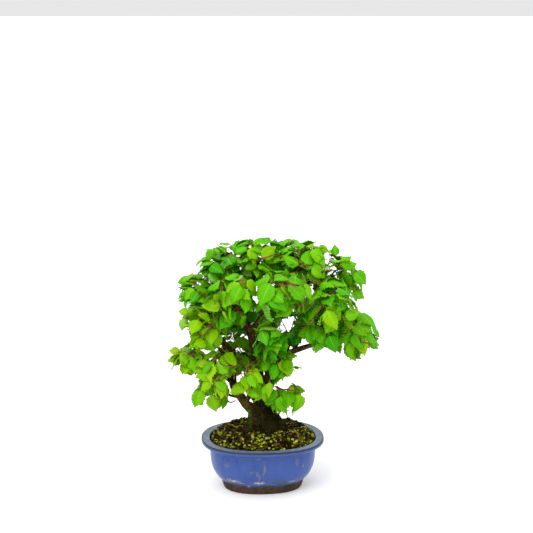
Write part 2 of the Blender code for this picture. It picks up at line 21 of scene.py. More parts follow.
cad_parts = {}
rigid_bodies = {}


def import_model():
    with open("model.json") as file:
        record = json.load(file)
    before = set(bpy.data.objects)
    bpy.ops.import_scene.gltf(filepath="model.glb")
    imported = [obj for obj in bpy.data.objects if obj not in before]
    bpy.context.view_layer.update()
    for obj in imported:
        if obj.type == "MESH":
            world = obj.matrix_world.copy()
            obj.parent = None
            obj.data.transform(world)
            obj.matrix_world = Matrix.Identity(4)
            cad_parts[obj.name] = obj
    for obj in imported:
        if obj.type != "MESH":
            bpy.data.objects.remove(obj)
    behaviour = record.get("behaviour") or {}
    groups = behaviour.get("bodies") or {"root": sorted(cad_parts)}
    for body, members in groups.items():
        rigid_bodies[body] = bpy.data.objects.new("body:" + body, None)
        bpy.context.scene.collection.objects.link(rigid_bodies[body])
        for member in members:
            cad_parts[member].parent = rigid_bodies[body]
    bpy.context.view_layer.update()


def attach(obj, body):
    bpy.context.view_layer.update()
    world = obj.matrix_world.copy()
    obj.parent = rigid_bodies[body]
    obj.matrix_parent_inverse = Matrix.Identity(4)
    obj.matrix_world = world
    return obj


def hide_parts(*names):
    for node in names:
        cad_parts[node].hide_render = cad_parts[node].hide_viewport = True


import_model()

MILLIMETRE = 0.001
GAP = 0.3
UP = Vector((0.0, 0.0, 1.0))

# Camera: where the photograph was taken from, its frame being PHOTO_SIDE pixels square
PHOTO_SIDE = 533
CAMERA_PLACE = (-103.3, -1688.3, 687.6)
CAMERA_HEADING = math.radians(-3.5)
CAMERA_PITCH = math.radians(11.9)
FOCAL_PIXELS = 1231.2
FRAME_CENTRE = (262.6, 261.5)
SENSOR_WIDTH = 36.0

# Studio: how bright the surround is low down and overhead, the lamps, and the floor
SURROUND_LOW = 0.80
SURROUND_HIGH = 1.70
SURROUND_HEIGHTS = (0.15, 0.95)
LAMPS = (
    ("key", (0.6, 0.75, -1.0), 40.0, 1.27),
    ("fill", (-0.9, 0.6, -0.6), 60.0, 0.2),
)
FLOOR_WHITE = (0.92, 0.92, 0.92)
FLOOR_RADIUS = 60000.0
FLOOR_SIDES = 96
FLOOR_DROP = -0.05
FLOOR_ROUGHNESS = 0.9

# Pot: an oval bowl with a flat rim, a thin lip and a low unglazed foot
POT_LENGTH = 177.0
POT_WIDTH = 146.0
POT_HEIGHT = 73.5
OVAL_POWER = 2.3
RIM_WIDTH = 12.0
LIP_THICKNESS = 5.5
LIP_ROUND = 1.6
NECK_INSET = 12.2
FOOT_HEIGHT = 14.0
FOOT_INSET = 27.6
FOOT_DRAFT = 4.5
BODY_FOOT_INSET = 26.9
BODY_BULGE = 3.8
POT_SIDES = 224
POT_BODY_RINGS = 46
NECK_BAND = 61.0
NECK_BAND_RISE = 1.0
POT_UNEVENNESS = 0.3
POT_UNEVENNESS_SCALE = 0.02

# Small curves of the pot's outline, as steps in and up from where its parts meet
FOOT_BEVEL = (0.8, 0.5)
FOOT_SPAN = (1.5, -1.2)
FOOT_RINGS = 7
FOOT_TOP = (-0.3, -0.8)
BODY_START = (0.9, -0.4)
BODY_SPAN = (0.3, -2.2)
NECK_BAND_SOFTNESS = 1.4
NECK_CURVE = ((-1.4, -1.2), (-3.4, -0.5))
LIP_FLAT = 2.5
LIP_UNDER_RINGS = 6
LIP_OVER_RINGS = 7
RIM_DIP = 0.35
RIM_DIP_SPAN = (0.1, 0.9)
RIM_DIP_RINGS = 8
RIM_INSIDE = ((-0.3, -0.25), (0.0, -0.9), (0.2, -6.0), (8.0, -9.0))

# The dark line worn along the top of the lip: how far in and down its middle is, and its reach
LINE_INSET = 0.7
LINE_DROP = 0.7
LINE_REACH = (1.20, 1.85)

# Soil: mounded up to a flat patch under the trunk and strewn with grains
SOIL_EDGE = 70.5
GROUND = 84.0
SOIL_PATCH = 0.56
BACK_HEAP = 3.0
BACK_HEAP_DEPTH = (15.0, 42.0)
BACK_HEAP_SHARES = (0.86, 1.0)
BACK_HEAP_SOFTNESS = 0.1
SOIL_BOTTOM = 58.0
GRAIN_SPACING = 3.7
GRAIN_RADIUS = 2.25
GRAIN_CLUSTER = 0.055
GRAIN_CLUSTER_EDGE = -0.02
GRAIN_MIXING = 0.42
LIGHT_GRAINS = 3
LIGHT_GRAIN_SHARE = 0.80
LARGE_GRAIN_PLACE = (16.0, 0.80)
LARGE_GRAIN_CHANCE = 0.22
LARGE_GRAIN_SHARE = 1.55
GRAIN_GLOSS = 0.04
GRAIN_ROUGHNESS = 0.85
GRAIN_ROWS_APART = 0.866
GRAIN_SHIFT = 1.1
GRAIN_EDGE = 0.975
GRAIN_TRUNK_REACH = 21
GRAIN_SIZES = (0.7, 1.3)
GRAIN_RISE = (-0.6, 0.5)
GRAIN_STRETCH = ((0.9, 1.5), (0.65, 0.95), (0.6, 0.9))
GRAIN_TILT = 0.6
GRAIN_LUMPS = (0.80, 1.20)
UPPER_LAYER_SHARE = 0.30
UPPER_LAYER_RISE = 1.6

# The mound under the grains: its rings, how far it lies below them, and its unevenness
MOUND_SIDES = 96
MOUND_RINGS = 26
MOUND_MIDDLE = 0.04
MOUND_BOTTOM_INSET = 4.0
MOUND_DROP = 0.9
MOUND_UNEVENNESS = 0.9
MOUND_ROUGHNESS_SCALE = 0.3

# Trunk: flares into root ridges at the ground and leans left to its fork
TRUNK_FOOT = (4.0, 2.0)
TRUNK_FORK = (-8.0, 3.0)
TRUNK_HEIGHT = 46.0
TRUNK_BASE_RADIUS = 31.0
TRUNK_FORK_RADIUS = 10.4
TRUNK_FLARE_HEIGHT = 28.0
TRUNK_DEPTH = 0.82
TRUNK_SIDES = 14
TRUNK_RINGS = 7
TRUNK_RING_CROWDING = 1.3
TRUNK_LEAN_GROWTH = 0.5
ROOT_RIDGES = 5
ROOT_RIDGE_DEPTH = 0.16
ROOT_RIDGE_TURN = 0.7
ROOT_SPREAD = 0.4
ROOT_SPREAD_TURN = 0.5
FORK_RIDGE_SHARE = 0.25

LIMB_SIDES = 6
STEM_RADIUS = 4.5
STEM_RINGS = 6
BOUGH_RINGS = 4
LIMB_CROOK = 0.3
LIMB_CLEARANCE = 0.6

CROWN_CENTRE = Vector((10.0, 0.0, 232.0))

# A limb starts at a share of its parent's length and ends at a point or in a mass of leaves
Limb = namedtuple("Limb", "name parent start end bow radius tip_radius")


def bough(name, parent, start, bow, radius, tip_radius):
    """A bough that ends in the mass that it is named after."""
    return Limb(name + "_bough", parent, start, name + "_mass", bow, radius, tip_radius)


LIMBS = (
    Limb("left_stem", "trunk", 0.38, (-43, -8, 206), (-16, -4, -9), 7.6, 4.6),
    Limb("main_stem", "trunk", 0.86, (-17, 2, 232), (3, 2, 0), 9.6, 6.8),
    Limb("right_stem", "trunk", 0.72, (27, 0, 194), (-7, -3, 4), 7.2, 5.0),
    bough("right", "right_stem", 0.97, (0, -4, 4), 5.0, 2.4),
    Limb("crown_left_bough", "main_stem", 0.97, "top_left_mass", (-5, 0, -3), 5.6, 2.4),
    Limb("crown_right_bough", "main_stem", 0.94, "top_right_mass", (-2, 2, 4), 5.4, 2.3),
    Limb("upper_left_bough", "left_stem", 0.97, "left_high_mass", (-4, 0, -4), 4.0, 2.0),
    Limb("top_bough", "crown_left_bough", 0.30, "top_middle_mass", (3, 2, 0), 3.2, 1.9),
    bough("upper_right", "crown_right_bough", 0.62, (0, 0, 5), 3.4, 2.0),
    bough("top_back_left", "crown_left_bough", 0.55, (0, 4, 0), 3.0, 1.8),
    bough("top_back_right", "crown_right_bough", 0.50, (0, 4, 0), 3.0, 1.8),
    bough("front_left_high", "crown_left_bough", 0.25, (0, -3, -2), 3.0, 1.8),
    bough("front_high", "crown_right_bough", 0.40, (0, -3, -2), 3.0, 1.8),
    bough("front_right_high", "upper_right_bough", 0.40, (0, 0, 2), 2.6, 1.7),
    bough("left_front", "left_stem", 0.80, (0, 0, 3), 3.2, 1.9),
    bough("left_back", "left_stem", 0.72, (0, 0, 3), 3.2, 1.9),
    bough("right_front", "right_bough", 0.55, (0, 0, 1), 2.8, 1.7),
    bough("right_middle", "right_bough", 0.14, (0, 0, 1), 2.6, 1.7),
    bough("right_back", "right_bough", 0.25, (0, 0, 3), 3.2, 1.9),
    bough("front_middle", "main_stem", 0.68, (0, 0, 2), 2.8, 1.7),
    bough("back_middle", "main_stem", 0.76, (0, 0, 3), 3.6, 2.0),
    bough("far_left", "left_stem", 0.62, (0, 0, 2), 3.0, 1.7),
    bough("left_low", "left_stem", 0.50, (0, 0, 2), 3.0, 1.8),
    bough("left_bottom", "left_stem", 0.34, (0, 0, 2), 3.0, 1.7),
    bough("front_low", "left_stem", 0.26, (0, -2, 2), 2.8, 1.7),
    bough("right_low", "right_stem", 0.16, (0, 0, 2), 2.8, 1.7),
    bough("right_inner", "right_stem", 0.55, (0, 0, 2), 2.8, 1.7),
    bough("back_low", "main_stem", 0.22, (0, 0, 3), 3.6, 2.0),
)

# A mass of leaves keeps to an oval space, cut flat where it meets the spaces of its neighbours
Mass = namedtuple("Mass", "name centre radii leaf_length tint")
MASSES = (
    Mass("top_left_mass", (-60, -10, 327), (35, 45, 32), 34, 0.42),
    Mass("top_middle_mass", (-6, 2, 337), (43, 46, 32), 35, 0.48),
    Mass("top_right_mass", (58, -8, 330), (44, 45, 33), 37, 0.55),
    Mass("upper_right_mass", (102, -6, 311), (44, 45, 44), 39, 0.54),
    Mass("top_back_left_mass", (-37, 64, 311), (47, 43, 41), 34, 0.40),
    Mass("top_back_right_mass", (43, 66, 311), (47, 43, 41), 36, 0.45),
    Mass("front_left_high_mass", (-46, -69, 292), (41, 39, 39), 35, 0.52),
    Mass("front_high_mass", (19, -72, 300), (44, 39, 41), 41, 0.48),
    Mass("front_right_high_mass", (91, -58, 281), (43, 40, 40), 41, 0.50),
    Mass("left_high_mass", (-88, 2, 286), (34, 44, 37), 33, 0.48),
    Mass("right_mass", (132, -2, 222), (38, 43, 40), 40, 0.50),
    Mass("left_front_mass", (-87, -46, 248), (39, 41, 34), 33, 0.68),
    Mass("left_back_mass", (-71, 50, 240), (42, 43, 38), 33, 0.55),
    Mass("right_front_mass", (76, -42, 246), (37, 39, 35), 41, 0.46),
    Mass("right_middle_mass", (44, 14, 230), (32, 42, 28), 34, 0.36),
    Mass("right_back_mass", (86, 50, 240), (43, 42, 39), 37, 0.42),
    Mass("front_middle_mass", (4, -66, 240), (32, 36, 35), 36, 0.40),
    Mass("back_middle_mass", (-18, 80, 228), (44, 39, 41), 34, 0.40),
    Mass("far_left_mass", (-107, -8, 193), (30, 38, 26), 29, 0.68),
    Mass("left_low_mass", (-64, -50, 185), (35, 39, 35), 32, 0.70),
    Mass("left_bottom_mass", (-75, -12, 146), (29, 36, 33), 30, 0.62),
    Mass("front_low_mass", (-21, -52, 171), (37, 36, 31), 29, 0.76),
    Mass("right_low_mass", (28, -22, 140), (32, 37, 29), 30, 0.65),
    Mass("right_inner_mass", (19, -34, 192), (34, 40, 28), 32, 0.60),
    Mass("back_low_mass", (-26, 56, 178), (47, 41, 39), 33, 0.60),
)
SPACE_MARGIN = 0.4
ENTRY_DEPTH = 2.0
SHORTEST_BOUGH = 17.0
HEART_DEPTH = 0.22
LIMB_STEPS = 24

# The leaves are joined into these pieces, each of which replaces the masses named with it
LEAF_PIECES = {
    "leaves_top": ("top_left", "top_middle", "top_right", "upper_right"),
    "leaves_top_back": ("top_back_left", "top_back_right", "back_middle", "back_low"),
    "leaves_front": ("front_left_high", "front_high", "front_right_high", "front_middle"),
    "leaves_low": ("front_low", "right_low", "right_inner", "right_middle"),
    "leaves_left": ("left_high", "left_front", "left_back", "far_left", "left_low", "left_bottom"),
    "leaves_right": ("right", "right_front", "right_back"),
}

# Growth inside a mass: a stem, twigs spread by the golden angle, leaves on alternate sides
TWIGS = 7
TWIG_SIDES = 3
TWIG_RADIUS = 1.1
TWIG_TIP_RADIUS = 0.85
STEM_LEAD = 3.0
STEM_BEND = 0.55
STEM_TIP_RADIUS = 1.2
TWIGGED_SHARE = 0.6
TWIG_REACH = 0.66
TWIG_REACH_SPREAD = (0.9, 1.15)
TWIG_DEPTH = 4.0
SHORTEST_TWIG = 6.0
TWIG_SHORTENING = 0.9
TWIG_SPREAD = math.radians(118)
TWIG_ARCH = 0.10
STRAIGHT_TWIG = 24.0
GOLDEN_ANGLE = math.radians(137.5)
LEAF_SPACING = 9.0
BARE_SHARE = 0.25
LEAF_TRIES = 18
LEAF_SIZE_SPREAD = (0.86, 1.14)
LEAF_LOOSENESS = 0.30
LEAF_LOOSENESS_GAIN = 0.08
LEAF_WIDTH = 0.74
LEAF_WIDEST = 0.44
LEAF_THICKNESS = 0.040
LEAF_SINK = 0.15
LEAF_SHRINK = 0.975
LEAF_DROOP = 0.10
RIDGE = 4

# What pulls a leaf's axis and its face, beside its twig's own direction
SIDE_PULL = 0.75
TWIG_PULL = 0.45
OUTWARD_PULL = 0.25
OWN_PULL = 0.30
HANG = 0.34
OUTER_HANG = 0.36
FACE_OUTWARD = 0.35
FACE_OWN = 0.55
FACE_UP = 0.50
FACE_LOOSENESS = 0.70
UPRIGHT_TWIG = 0.2

# Finer growth that the solids leave out: side twigs with smaller leaves
FINE_SHARES = (0.92, 0.66, 0.40)
FINE_TWIG_LENGTH = (8.0, 15.0)
FINE_LEAF_SIZE = (0.78, 1.02)
FINE_TRIES = 9
FINE_TWIG_RADIUS = 0.62
FINE_LOOSENESS = 0.35
FINE_LOOSENESS_GAIN = 0.06
FINE_ALONG = 0.5
FINE_ASIDE = 0.7
FINE_OUTWARD = 0.4
FINE_SPREAD = 0.5
FINE_TWIG_SIDES = 3
FINE_TWIG_STEPS = 3
FINE_TWIG_DEPTH = 1.0
FINE_TWIG_LIFT = 0.4
FINE_TWIG_BOW = UP * 0.8
FINE_TWIG_TAPER = 0.7
LONG_SPRAY = 12.0
LONG_SPRAY_LEAVES = (0.62, 0.30)
SHORT_SPRAY_LEAVES = (0.55,)
SIDE_LEAF_SIZE = 0.9
CROSSING_REACH = 45.0

# More fine twigs grow towards places in a mass's outer shell that have no leaf near
FILL_PLACES = 800
FILL_SHELL = (0.50, 0.92)
FILL_SPACING = 10.8
FILL_TWIG_LENGTH = (3.5, 30.0)
FILL_LEAF_RISE = 0.32
WOOD_PLACES = 6

# Windows in the leaves, in the photograph's pixels: middle, reach, and how deep they go.
# Those that go all the way show sky, and the others show the wood behind the nearer leaves.
ALL_THE_WAY = 1000.0
Window = namedtuple("Window", "middle reach deep", defaults=[ALL_THE_WAY])
WINDOWS = (
    Window((286.0, 325.0), (6.0, 8.5)),
    Window((255.5, 298.0), (3.4, 3.3)),
    Window((251.5, 400.5), (2.5, 3.0)),
    Window((326.0, 259.5), (1.6, 2.5)),
    Window((319.0, 270.0), (1.3, 2.5)),
    Window((342.3, 322.0), (1.6, 2.4)),
    Window((340.3, 332.5), (1.2, 3.0)),
    Window((331.5, 290.0), (2.5, 4.0)),
    Window((230.5, 382.0), (3.0, 4.5)),
    Window((207.0, 400.5), (3.2, 8.5)),
    Window((285.0, 384.0), (7.5, 3.2)),
    Window((289.0, 410.0), (3.0, 5.0)),
    Window((186.5, 332.0), (5.5, 4.0)),
    Window((181.0, 342.5), (5.5, 3.5)),
    Window((187.0, 304.5), (2.5, 2.5)),
    Window((215.5, 332.0), (2.5, 3.5)),
    Window((226.5, 244.0), (6.0, 3.0)),
    Window((356.0, 251.0), (11.0, 5.5)),
    Window((362.5, 265.0), (4.5, 4.5)),
    Window((368.5, 351.0), (4.0, 5.0)),
    Window((297.5, 357.0), (4.0, 4.0)),
    Window((177.0, 370.5), (3.5, 4.5)),
    Window((194.0, 385.5), (2.5, 4.0)),
    Window((343.5, 356.0), (3.5, 3.5)),
    Window((245.5, 403.5), (5.0, 7.5), 0.0),
    Window((266.0, 376.5), (4.0, 6.0), -5.0),
    Window((240.5, 372.5), (4.5, 6.0), -5.0),
    Window((235.5, 310.0), (6.0, 5.0), 10.0),
    Window((254.0, 319.0), (7.0, 6.0), 10.0),
    Window((251.0, 338.0), (4.0, 10.0), 0.0),
)

# Twigs seen in front of the leaves, in the photograph's pixels; each grows from its mass's wood
FrontTwig = namedtuple("FrontTwig", "mass pixels")
FRONT_TWIGS = (
    FrontTwig("left_front_mass", (
        (201.0, 335.0), (206.0, 332.5), (211.5, 324.0), (215.0, 316.0), (217.5, 311.5),
    )),
    FrontTwig("left_front_mass", ((211.5, 325.0), (208.0, 327.0), (203.5, 326.0))),
    FrontTwig("left_high_mass", (
        (207.5, 313.0), (208.0, 305.0), (207.5, 298.0), (203.5, 293.5), (199.0, 291.0),
    )),
    FrontTwig("far_left_mass", ((194.5, 356.5), (188.0, 355.0), (182.5, 354.5))),
    FrontTwig("left_low_mass", ((242.0, 363.0), (234.0, 366.5), (226.0, 366.0), (219.5, 362.5))),
    FrontTwig("left_low_mass", ((238.0, 373.0), (229.0, 374.0), (220.0, 376.5), (214.5, 381.0))),
    FrontTwig("front_low_mass", ((271.5, 358.5), (259.5, 360.0), (250.0, 364.0), (246.0, 371.0))),
    FrontTwig("front_high_mass", ((300.0, 285.5), (291.5, 285.0), (284.0, 285.5), (279.5, 284.0))),
    FrontTwig("front_high_mass", ((304.0, 304.0), (305.5, 299.0), (303.5, 296.0))),
    FrontTwig("front_right_high_mass", ((317.0, 283.0), (311.5, 280.5), (309.0, 285.5), (301.5, 286.5))),
    FrontTwig("front_right_high_mass", ((310.5, 323.0), (303.5, 324.5), (297.5, 324.0))),
    FrontTwig("top_middle_mass", ((273.0, 254.5), (278.5, 255.5), (284.5, 258.5))),
    FrontTwig("top_right_mass", ((305.5, 266.5), (300.0, 262.0), (293.5, 258.0))),
    FrontTwig("upper_right_mass", ((322.5, 272.5), (327.5, 270.5), (332.0, 269.5))),
    FrontTwig("right_mass", ((350.0, 329.0), (346.0, 333.5), (341.0, 333.0))),
    FrontTwig("right_mass", ((361.0, 342.5), (366.5, 343.0), (371.0, 345.0))),
    FrontTwig("left_bottom_mass", ((225.0, 396.5), (228.0, 401.0), (232.0, 402.5), (235.5, 400.5))),
    FrontTwig("right_low_mass", ((286.0, 389.5), (291.0, 391.0), (297.0, 389.5))),
)
FRONT_TWIG_RADIUS = 1.25
FRONT_TWIG_TIP_RADIUS = 1.20
FRONT_TWIG_STEP = 5.0

# Leaves that stand out from the outline, from the stalk's foot to the tip in the photograph's
# pixels; the last value is how far each faces the camera and not the sky
EdgeLeaf = namedtuple("EdgeLeaf", "mass foot tip facing")
EDGE_LEAVES = (
    EdgeLeaf("top_right_mass", (315.9, 247.5), (330.0, 250.5), 0.8),
    EdgeLeaf("top_right_mass", (336.0, 257.5), (334.6, 244.0), 1.0),
    EdgeLeaf("upper_right_mass", (338.2, 267.0), (351.8, 256.5), 0.8),
    EdgeLeaf("upper_right_mass", (339.5, 267.5), (357.0, 262.0), 0.7),
    EdgeLeaf("upper_right_mass", (351.8, 271.0), (368.3, 283.0), 0.8),
    EdgeLeaf("upper_right_mass", (351.0, 289.0), (364.3, 300.0), 1.0),
    EdgeLeaf("right_mass", (350.0, 318.0), (368.5, 318.3), 0.5),
    EdgeLeaf("right_mass", (353.0, 322.5), (373.5, 332.0), 0.8),
    EdgeLeaf("right_mass", (361.0, 341.0), (362.0, 330.0), 0.9),
    EdgeLeaf("right_mass", (368.5, 341.0), (379.3, 338.0), 0.6),
    EdgeLeaf("right_mass", (368.5, 341.5), (379.6, 348.5), 0.7),
    EdgeLeaf("top_left_mass", (214.7, 247.5), (206.5, 262.0), 1.0),
    EdgeLeaf("top_left_mass", (216.9, 244.7), (231.0, 242.3), 0.1),
    EdgeLeaf("left_high_mass", (193.0, 279.0), (176.5, 282.5), 0.9),
    EdgeLeaf("left_high_mass", (190.0, 289.5), (185.0, 302.5), 0.9),
    EdgeLeaf("left_front_mass", (189.5, 313.0), (178.0, 309.5), 0.8),
    EdgeLeaf("left_front_mass", (184.5, 316.0), (182.0, 331.5), 0.9),
    EdgeLeaf("far_left_mass", (181.0, 351.5), (168.5, 349.0), 0.7),
    EdgeLeaf("far_left_mass", (178.5, 356.0), (167.5, 361.5), 0.8),
    EdgeLeaf("left_bottom_mass", (201.5, 387.0), (195.0, 409.0), 0.9),
    EdgeLeaf("left_bottom_mass", (211.0, 391.5), (217.5, 412.5), 0.9),
    EdgeLeaf("right_front_mass", (327.5, 332.5), (337.5, 353.0), 0.9),
    EdgeLeaf("right_mass", (346.5, 340.0), (356.0, 362.0), 0.9),
    EdgeLeaf("right_low_mass", (300.0, 391.0), (297.0, 412.5), 0.9),
    EdgeLeaf("right_low_mass", (280.5, 393.0), (282.5, 414.0), 0.9),
)
EDGE_TWIG_STEPS = 4
EDGE_STEP = 4.0
EDGE_TRIES = 7

# A leaf's own shape: a toothed oval blade, pleated between its side veins, on a short stalk
VEIN_PAIRS = 7
BLADE_COLUMNS = (0.04, 0.42, 0.76, 1.0)
BLADE_WIDTH = 0.80
BLADE_GROWTH = 1.12
STALK_SHARE = 0.15
STALK_RADIUS = 0.48
VEIN_SLANT = 0.24
BLADE_THICKNESS = 0.24
TOOTH_OUT = 1.07
TOOTH_IN = 0.93
PLEAT = 0.032
PLEAT_REACH = 0.9
PLEAT_ROUNDNESS = 0.8
TIP_POINT = 0.42
TIP_START = 0.62
BASE_ROUNDNESS = 0.52
TIP_ROUNDNESS = 0.92
OUTLINE_SCALE = 2.58
SLANT_START = 0.18
TOOTH_LEAN = 0.012
RIB_GROOVE = 0.004
RIB_THICKNESS = 0.2
STALK_OVERLAP = 0.8
STALK_ARCH = 0.25
STALK_TAPER = 0.8
STALK_SIDES = 4

# The parts of a leaf, which differ in colour
BLADE_PART = 0
RIB_PART = 1
UNDER_PART = 2
PARTS = 3

# How much the leaves' blades differ in width, droop, curl, fold, sway and wave
WIDTH_SPREAD = (0.80, 1.04)
DROOP_SPREAD = (0.08, 0.38)
CURL_SPREAD = (0.22, 0.72)
FOLD_SPREAD = (0.02, 0.55)
SWAY_SPREAD = (-0.10, 0.10)
WAVE_SPREAD = (0.015, 0.07)
WAVE_TURNS = 9

# Greens from dark to bright, then two pale ones that paint a whitish sheen; a leaf's own comes from its
# mass's tint, moved by its spray, by itself, by how deep in the crown, where it is painted darker as
# shade, and by how high it hangs
LEAF_TINTS = (
    (0.020, 0.226, 0.001),
    (0.036, 0.282, 0.001),
    (0.060, 0.338, 0.001),
    (0.092, 0.388, 0.001),
    (0.138, 0.428, 0.001),
    (0.196, 0.452, 0.001),
    (0.268, 0.476, 0.002),
    (0.352, 0.502, 0.003),
    (0.105, 0.380, 0.008),
    (0.195, 0.455, 0.020),
)
SHEEN_PAINTED_TINTS = (8, 9)
SHEEN_PAINTED_SHARE = 0.11
BRIGHTEST_TINT = 7
TINT_RANGE = 7.2
SPRAY_SHIFT = 1.3
OWN_SHIFT = 0.8
# how much darker a leaf deep in the crown is made: painted shade
DEPTH_SHADE_SHIFT = 2.0
CROWN_REACH = 120.0
VEIN_PALER = 0.38
UNDERSIDE_PALER = 0.06
PALE_GREEN = (0.42, 0.62, 0.05)
HIGH_LEAVES = (290.0, 335.0)
HIGH_LEAVES_DARKER = 0.35
LEAF_GLOSS = 0.06
SHEEN_PAINTED_LEAF_GLOSS = 0.60
LEAF_ROUGHNESS = 0.27
VEIN_ROUGHNESS = 0.50
UNDERSIDE_ROUGHNESS = 0.62


def show(name, data):
    """A new object in the scene."""
    obj = bpy.data.objects.new(name, data)
    bpy.context.scene.collection.objects.link(obj)
    return obj


class Shape:
    """Points, faces and each face's material number, gathered into one mesh."""

    def __init__(self):
        self.points = []
        self.faces = []
        self.looks = []

    def add(self, points, faces, looks=0):
        """Take in a body; looks is one number or a list with one for each face."""
        base = len(self.points)
        self.points.extend(points)
        self.faces.extend([tuple(base + corner for corner in face) for face in faces])
        if isinstance(looks, int):
            looks = [looks] * len(faces)
        self.looks.extend(looks)

    def build(self, name, materials):
        """Make the mesh object, smoothly shaded, in metres."""
        mesh = bpy.data.meshes.new(name)
        points = np.array([tuple(point) for point in self.points]) * MILLIMETRE
        mesh.from_pydata(points.tolist(), [], self.faces)
        for material in materials:
            mesh.materials.append(material)
        mesh.polygons.foreach_set("material_index", self.looks)
        mesh.polygons.foreach_set("use_smooth", [True] * len(mesh.polygons))
        mesh.update()
        return show(name, mesh)


def loft(rings):
    """Join rings of points into one closed body with flat ends."""
    count = len(rings[0])
    points = [point for ring in rings for point in ring]
    faces = [list(reversed(range(count)))]
    for level in range(len(rings) - 1):
        low = level * count
        high = low + count
        for step in range(count):
            following = (step + 1) % count
            faces.append([low + step, low + following, high + following, high + step])
    last = (len(rings) - 1) * count
    faces.append(list(range(last, last + count)))
    return points, faces


def levels(low, high, count):
    """Evenly spaced values from low to high."""
    return [low + (high - low) * step / (count - 1) for step in range(count)]


def smooth_step(low, high, value):
    """0 below low, 1 above high, and a smooth rise between them."""
    share = min(max((value - low) / (high - low), 0.0), 1.0)
    return share * share * (3 - 2 * share)


def blend_colour(first, second, share):
    """A colour between two others."""
    return tuple(one + (two - one) * share for one, two in zip(first, second))


def oval(inset, height, sides=POT_SIDES):
    """A ring of the pot's plan shape, set in from the edge of its lip."""
    half_length = POT_LENGTH / 2 - inset
    half_width = POT_WIDTH / 2 - inset
    ring = []
    for step in range(sides):
        angle = math.tau * step / sides
        across = math.copysign(abs(math.cos(angle)) ** (2 / OVAL_POWER), math.cos(angle))
        deep = math.copysign(abs(math.sin(angle)) ** (2 / OVAL_POWER), math.sin(angle))
        ring.append(Vector((half_length * across, half_width * deep, height)))
    return ring


def body_inset(height):
    """How far the bulging outer wall stands in from the edge of the lip."""
    share = (height - FOOT_HEIGHT) / (POT_HEIGHT - LIP_THICKNESS - FOOT_HEIGHT)
    return NECK_INSET + (BODY_FOOT_INSET - NECK_INSET) * (1 - share) ** BODY_BULGE


def trunk_axis(share):
    """The middle of the trunk at a share of its height, which leans more towards the fork."""
    lean = share * (1 - TRUNK_LEAN_GROWTH + TRUNK_LEAN_GROWTH * share)
    across = TRUNK_FOOT[0] + (TRUNK_FORK[0] - TRUNK_FOOT[0]) * lean
    deep = TRUNK_FOOT[1] + (TRUNK_FORK[1] - TRUNK_FOOT[1]) * lean
    return Vector((across, deep, GROUND + GAP + share * TRUNK_HEIGHT))


def trunk_ring(share, sides, swell):
    """One ring of the trunk, flaring and ridged at the foot, moved out by swell."""
    middle = trunk_axis(share)
    flare = math.exp(-share * TRUNK_HEIGHT / TRUNK_FLARE_HEIGHT)
    radius = TRUNK_FORK_RADIUS + (TRUNK_BASE_RADIUS - TRUNK_FORK_RADIUS) * flare
    ring = []
    for step in range(sides):
        angle = math.tau * step / sides
        ridge = math.cos(ROOT_RIDGES * angle + ROOT_RIDGE_TURN)
        ridge += ROOT_SPREAD * math.cos(2 * angle - ROOT_SPREAD_TURN)
        reach = radius * (1 + ROOT_RIDGE_DEPTH * ridge * (FORK_RIDGE_SHARE + flare)) + swell
        across = math.cos(angle) * reach
        deep = math.sin(angle) * reach * TRUNK_DEPTH
        ring.append(middle + Vector((across, deep, 0)))
    return ring


def trunk_rings(swell):
    """The trunk's rings as the solid has them."""
    shares = [share ** TRUNK_RING_CROWDING for share in levels(0.0, 1.0, TRUNK_RINGS)]
    rings = [trunk_ring(share, TRUNK_SIDES, swell) for share in shares]
    rings[-1] = [point + UP * swell for point in rings[-1]]
    return rings


def bend(start, end, bow, steps):
    """Points on a smooth curve whose middle stands off the straight line by bow."""
    control = (start + end) / 2 + bow * 2
    points = []
    for step in range(steps + 1):
        share = step / steps
        rest = 1 - share
        points.append(start * rest * rest + control * (2 * share * rest) + end * (share * share))
    return points


def point_along(route, share):
    """The point at a share of a route's length, its points being evenly spaced."""
    place = min(max(share, 0.0), 1.0) * (len(route) - 1)
    index = min(int(place), len(route) - 2)
    return route[index].lerp(route[index + 1], place - index)


def tube(route, radii, sides):
    """A closed tapering tube along a route, with flat ends."""
    rings = []
    side = None
    for index, point in enumerate(route):
        before = route[max(index - 1, 0)]
        after = route[min(index + 1, len(route) - 1)]
        along = (after - before).normalized()
        if side is None:
            side = along.orthogonal()
        side = (side - along * side.dot(along)).normalized()
        other = along.cross(side)
        ring = []
        for step in range(sides):
            angle = math.tau * step / sides
            ring.append(point + (side * math.cos(angle) + other * math.sin(angle)) * radii[index])
        rings.append(ring)
    return loft(rings)


def mass_named(name):
    """The mass of a name."""
    return next(mass for mass in MASSES if mass.name == name)


def ellipsoid_reach(mass, direction):
    """How far a mass's oval reaches from its centre in a direction."""
    return 1 / math.sqrt(sum((direction[axis] / mass.radii[axis]) ** 2 for axis in range(3)))


def mass_space(mass):
    """The flat sides that part a mass's space from those of its neighbours."""
    planes = []
    centre = Vector(mass.centre)
    for other in MASSES:
        if other.name == mass.name:
            continue
        towards = Vector(other.centre) - centre
        distance = towards.length
        if distance > max(mass.radii) + max(other.radii):
            continue
        towards.normalize()
        mine = ellipsoid_reach(mass, towards)
        theirs = ellipsoid_reach(other, towards)
        limit = (distance * distance + mine * mine - theirs * theirs) / (2 * distance)
        planes.append((towards, limit - SPACE_MARGIN))
    return planes


def inside(mass, planes, point, depth):
    """Whether a point lies in a mass's space, at least depth from its sides."""
    offset = point - Vector(mass.centre)
    if sum((offset[axis] / (mass.radii[axis] - depth)) ** 2 for axis in range(3)) > 1:
        return False
    return all(offset.dot(normal) <= limit - depth for normal, limit in planes)


def outward(point):
    """The direction away from the middle of the crown."""
    return (point - CROWN_CENTRE).normalized()


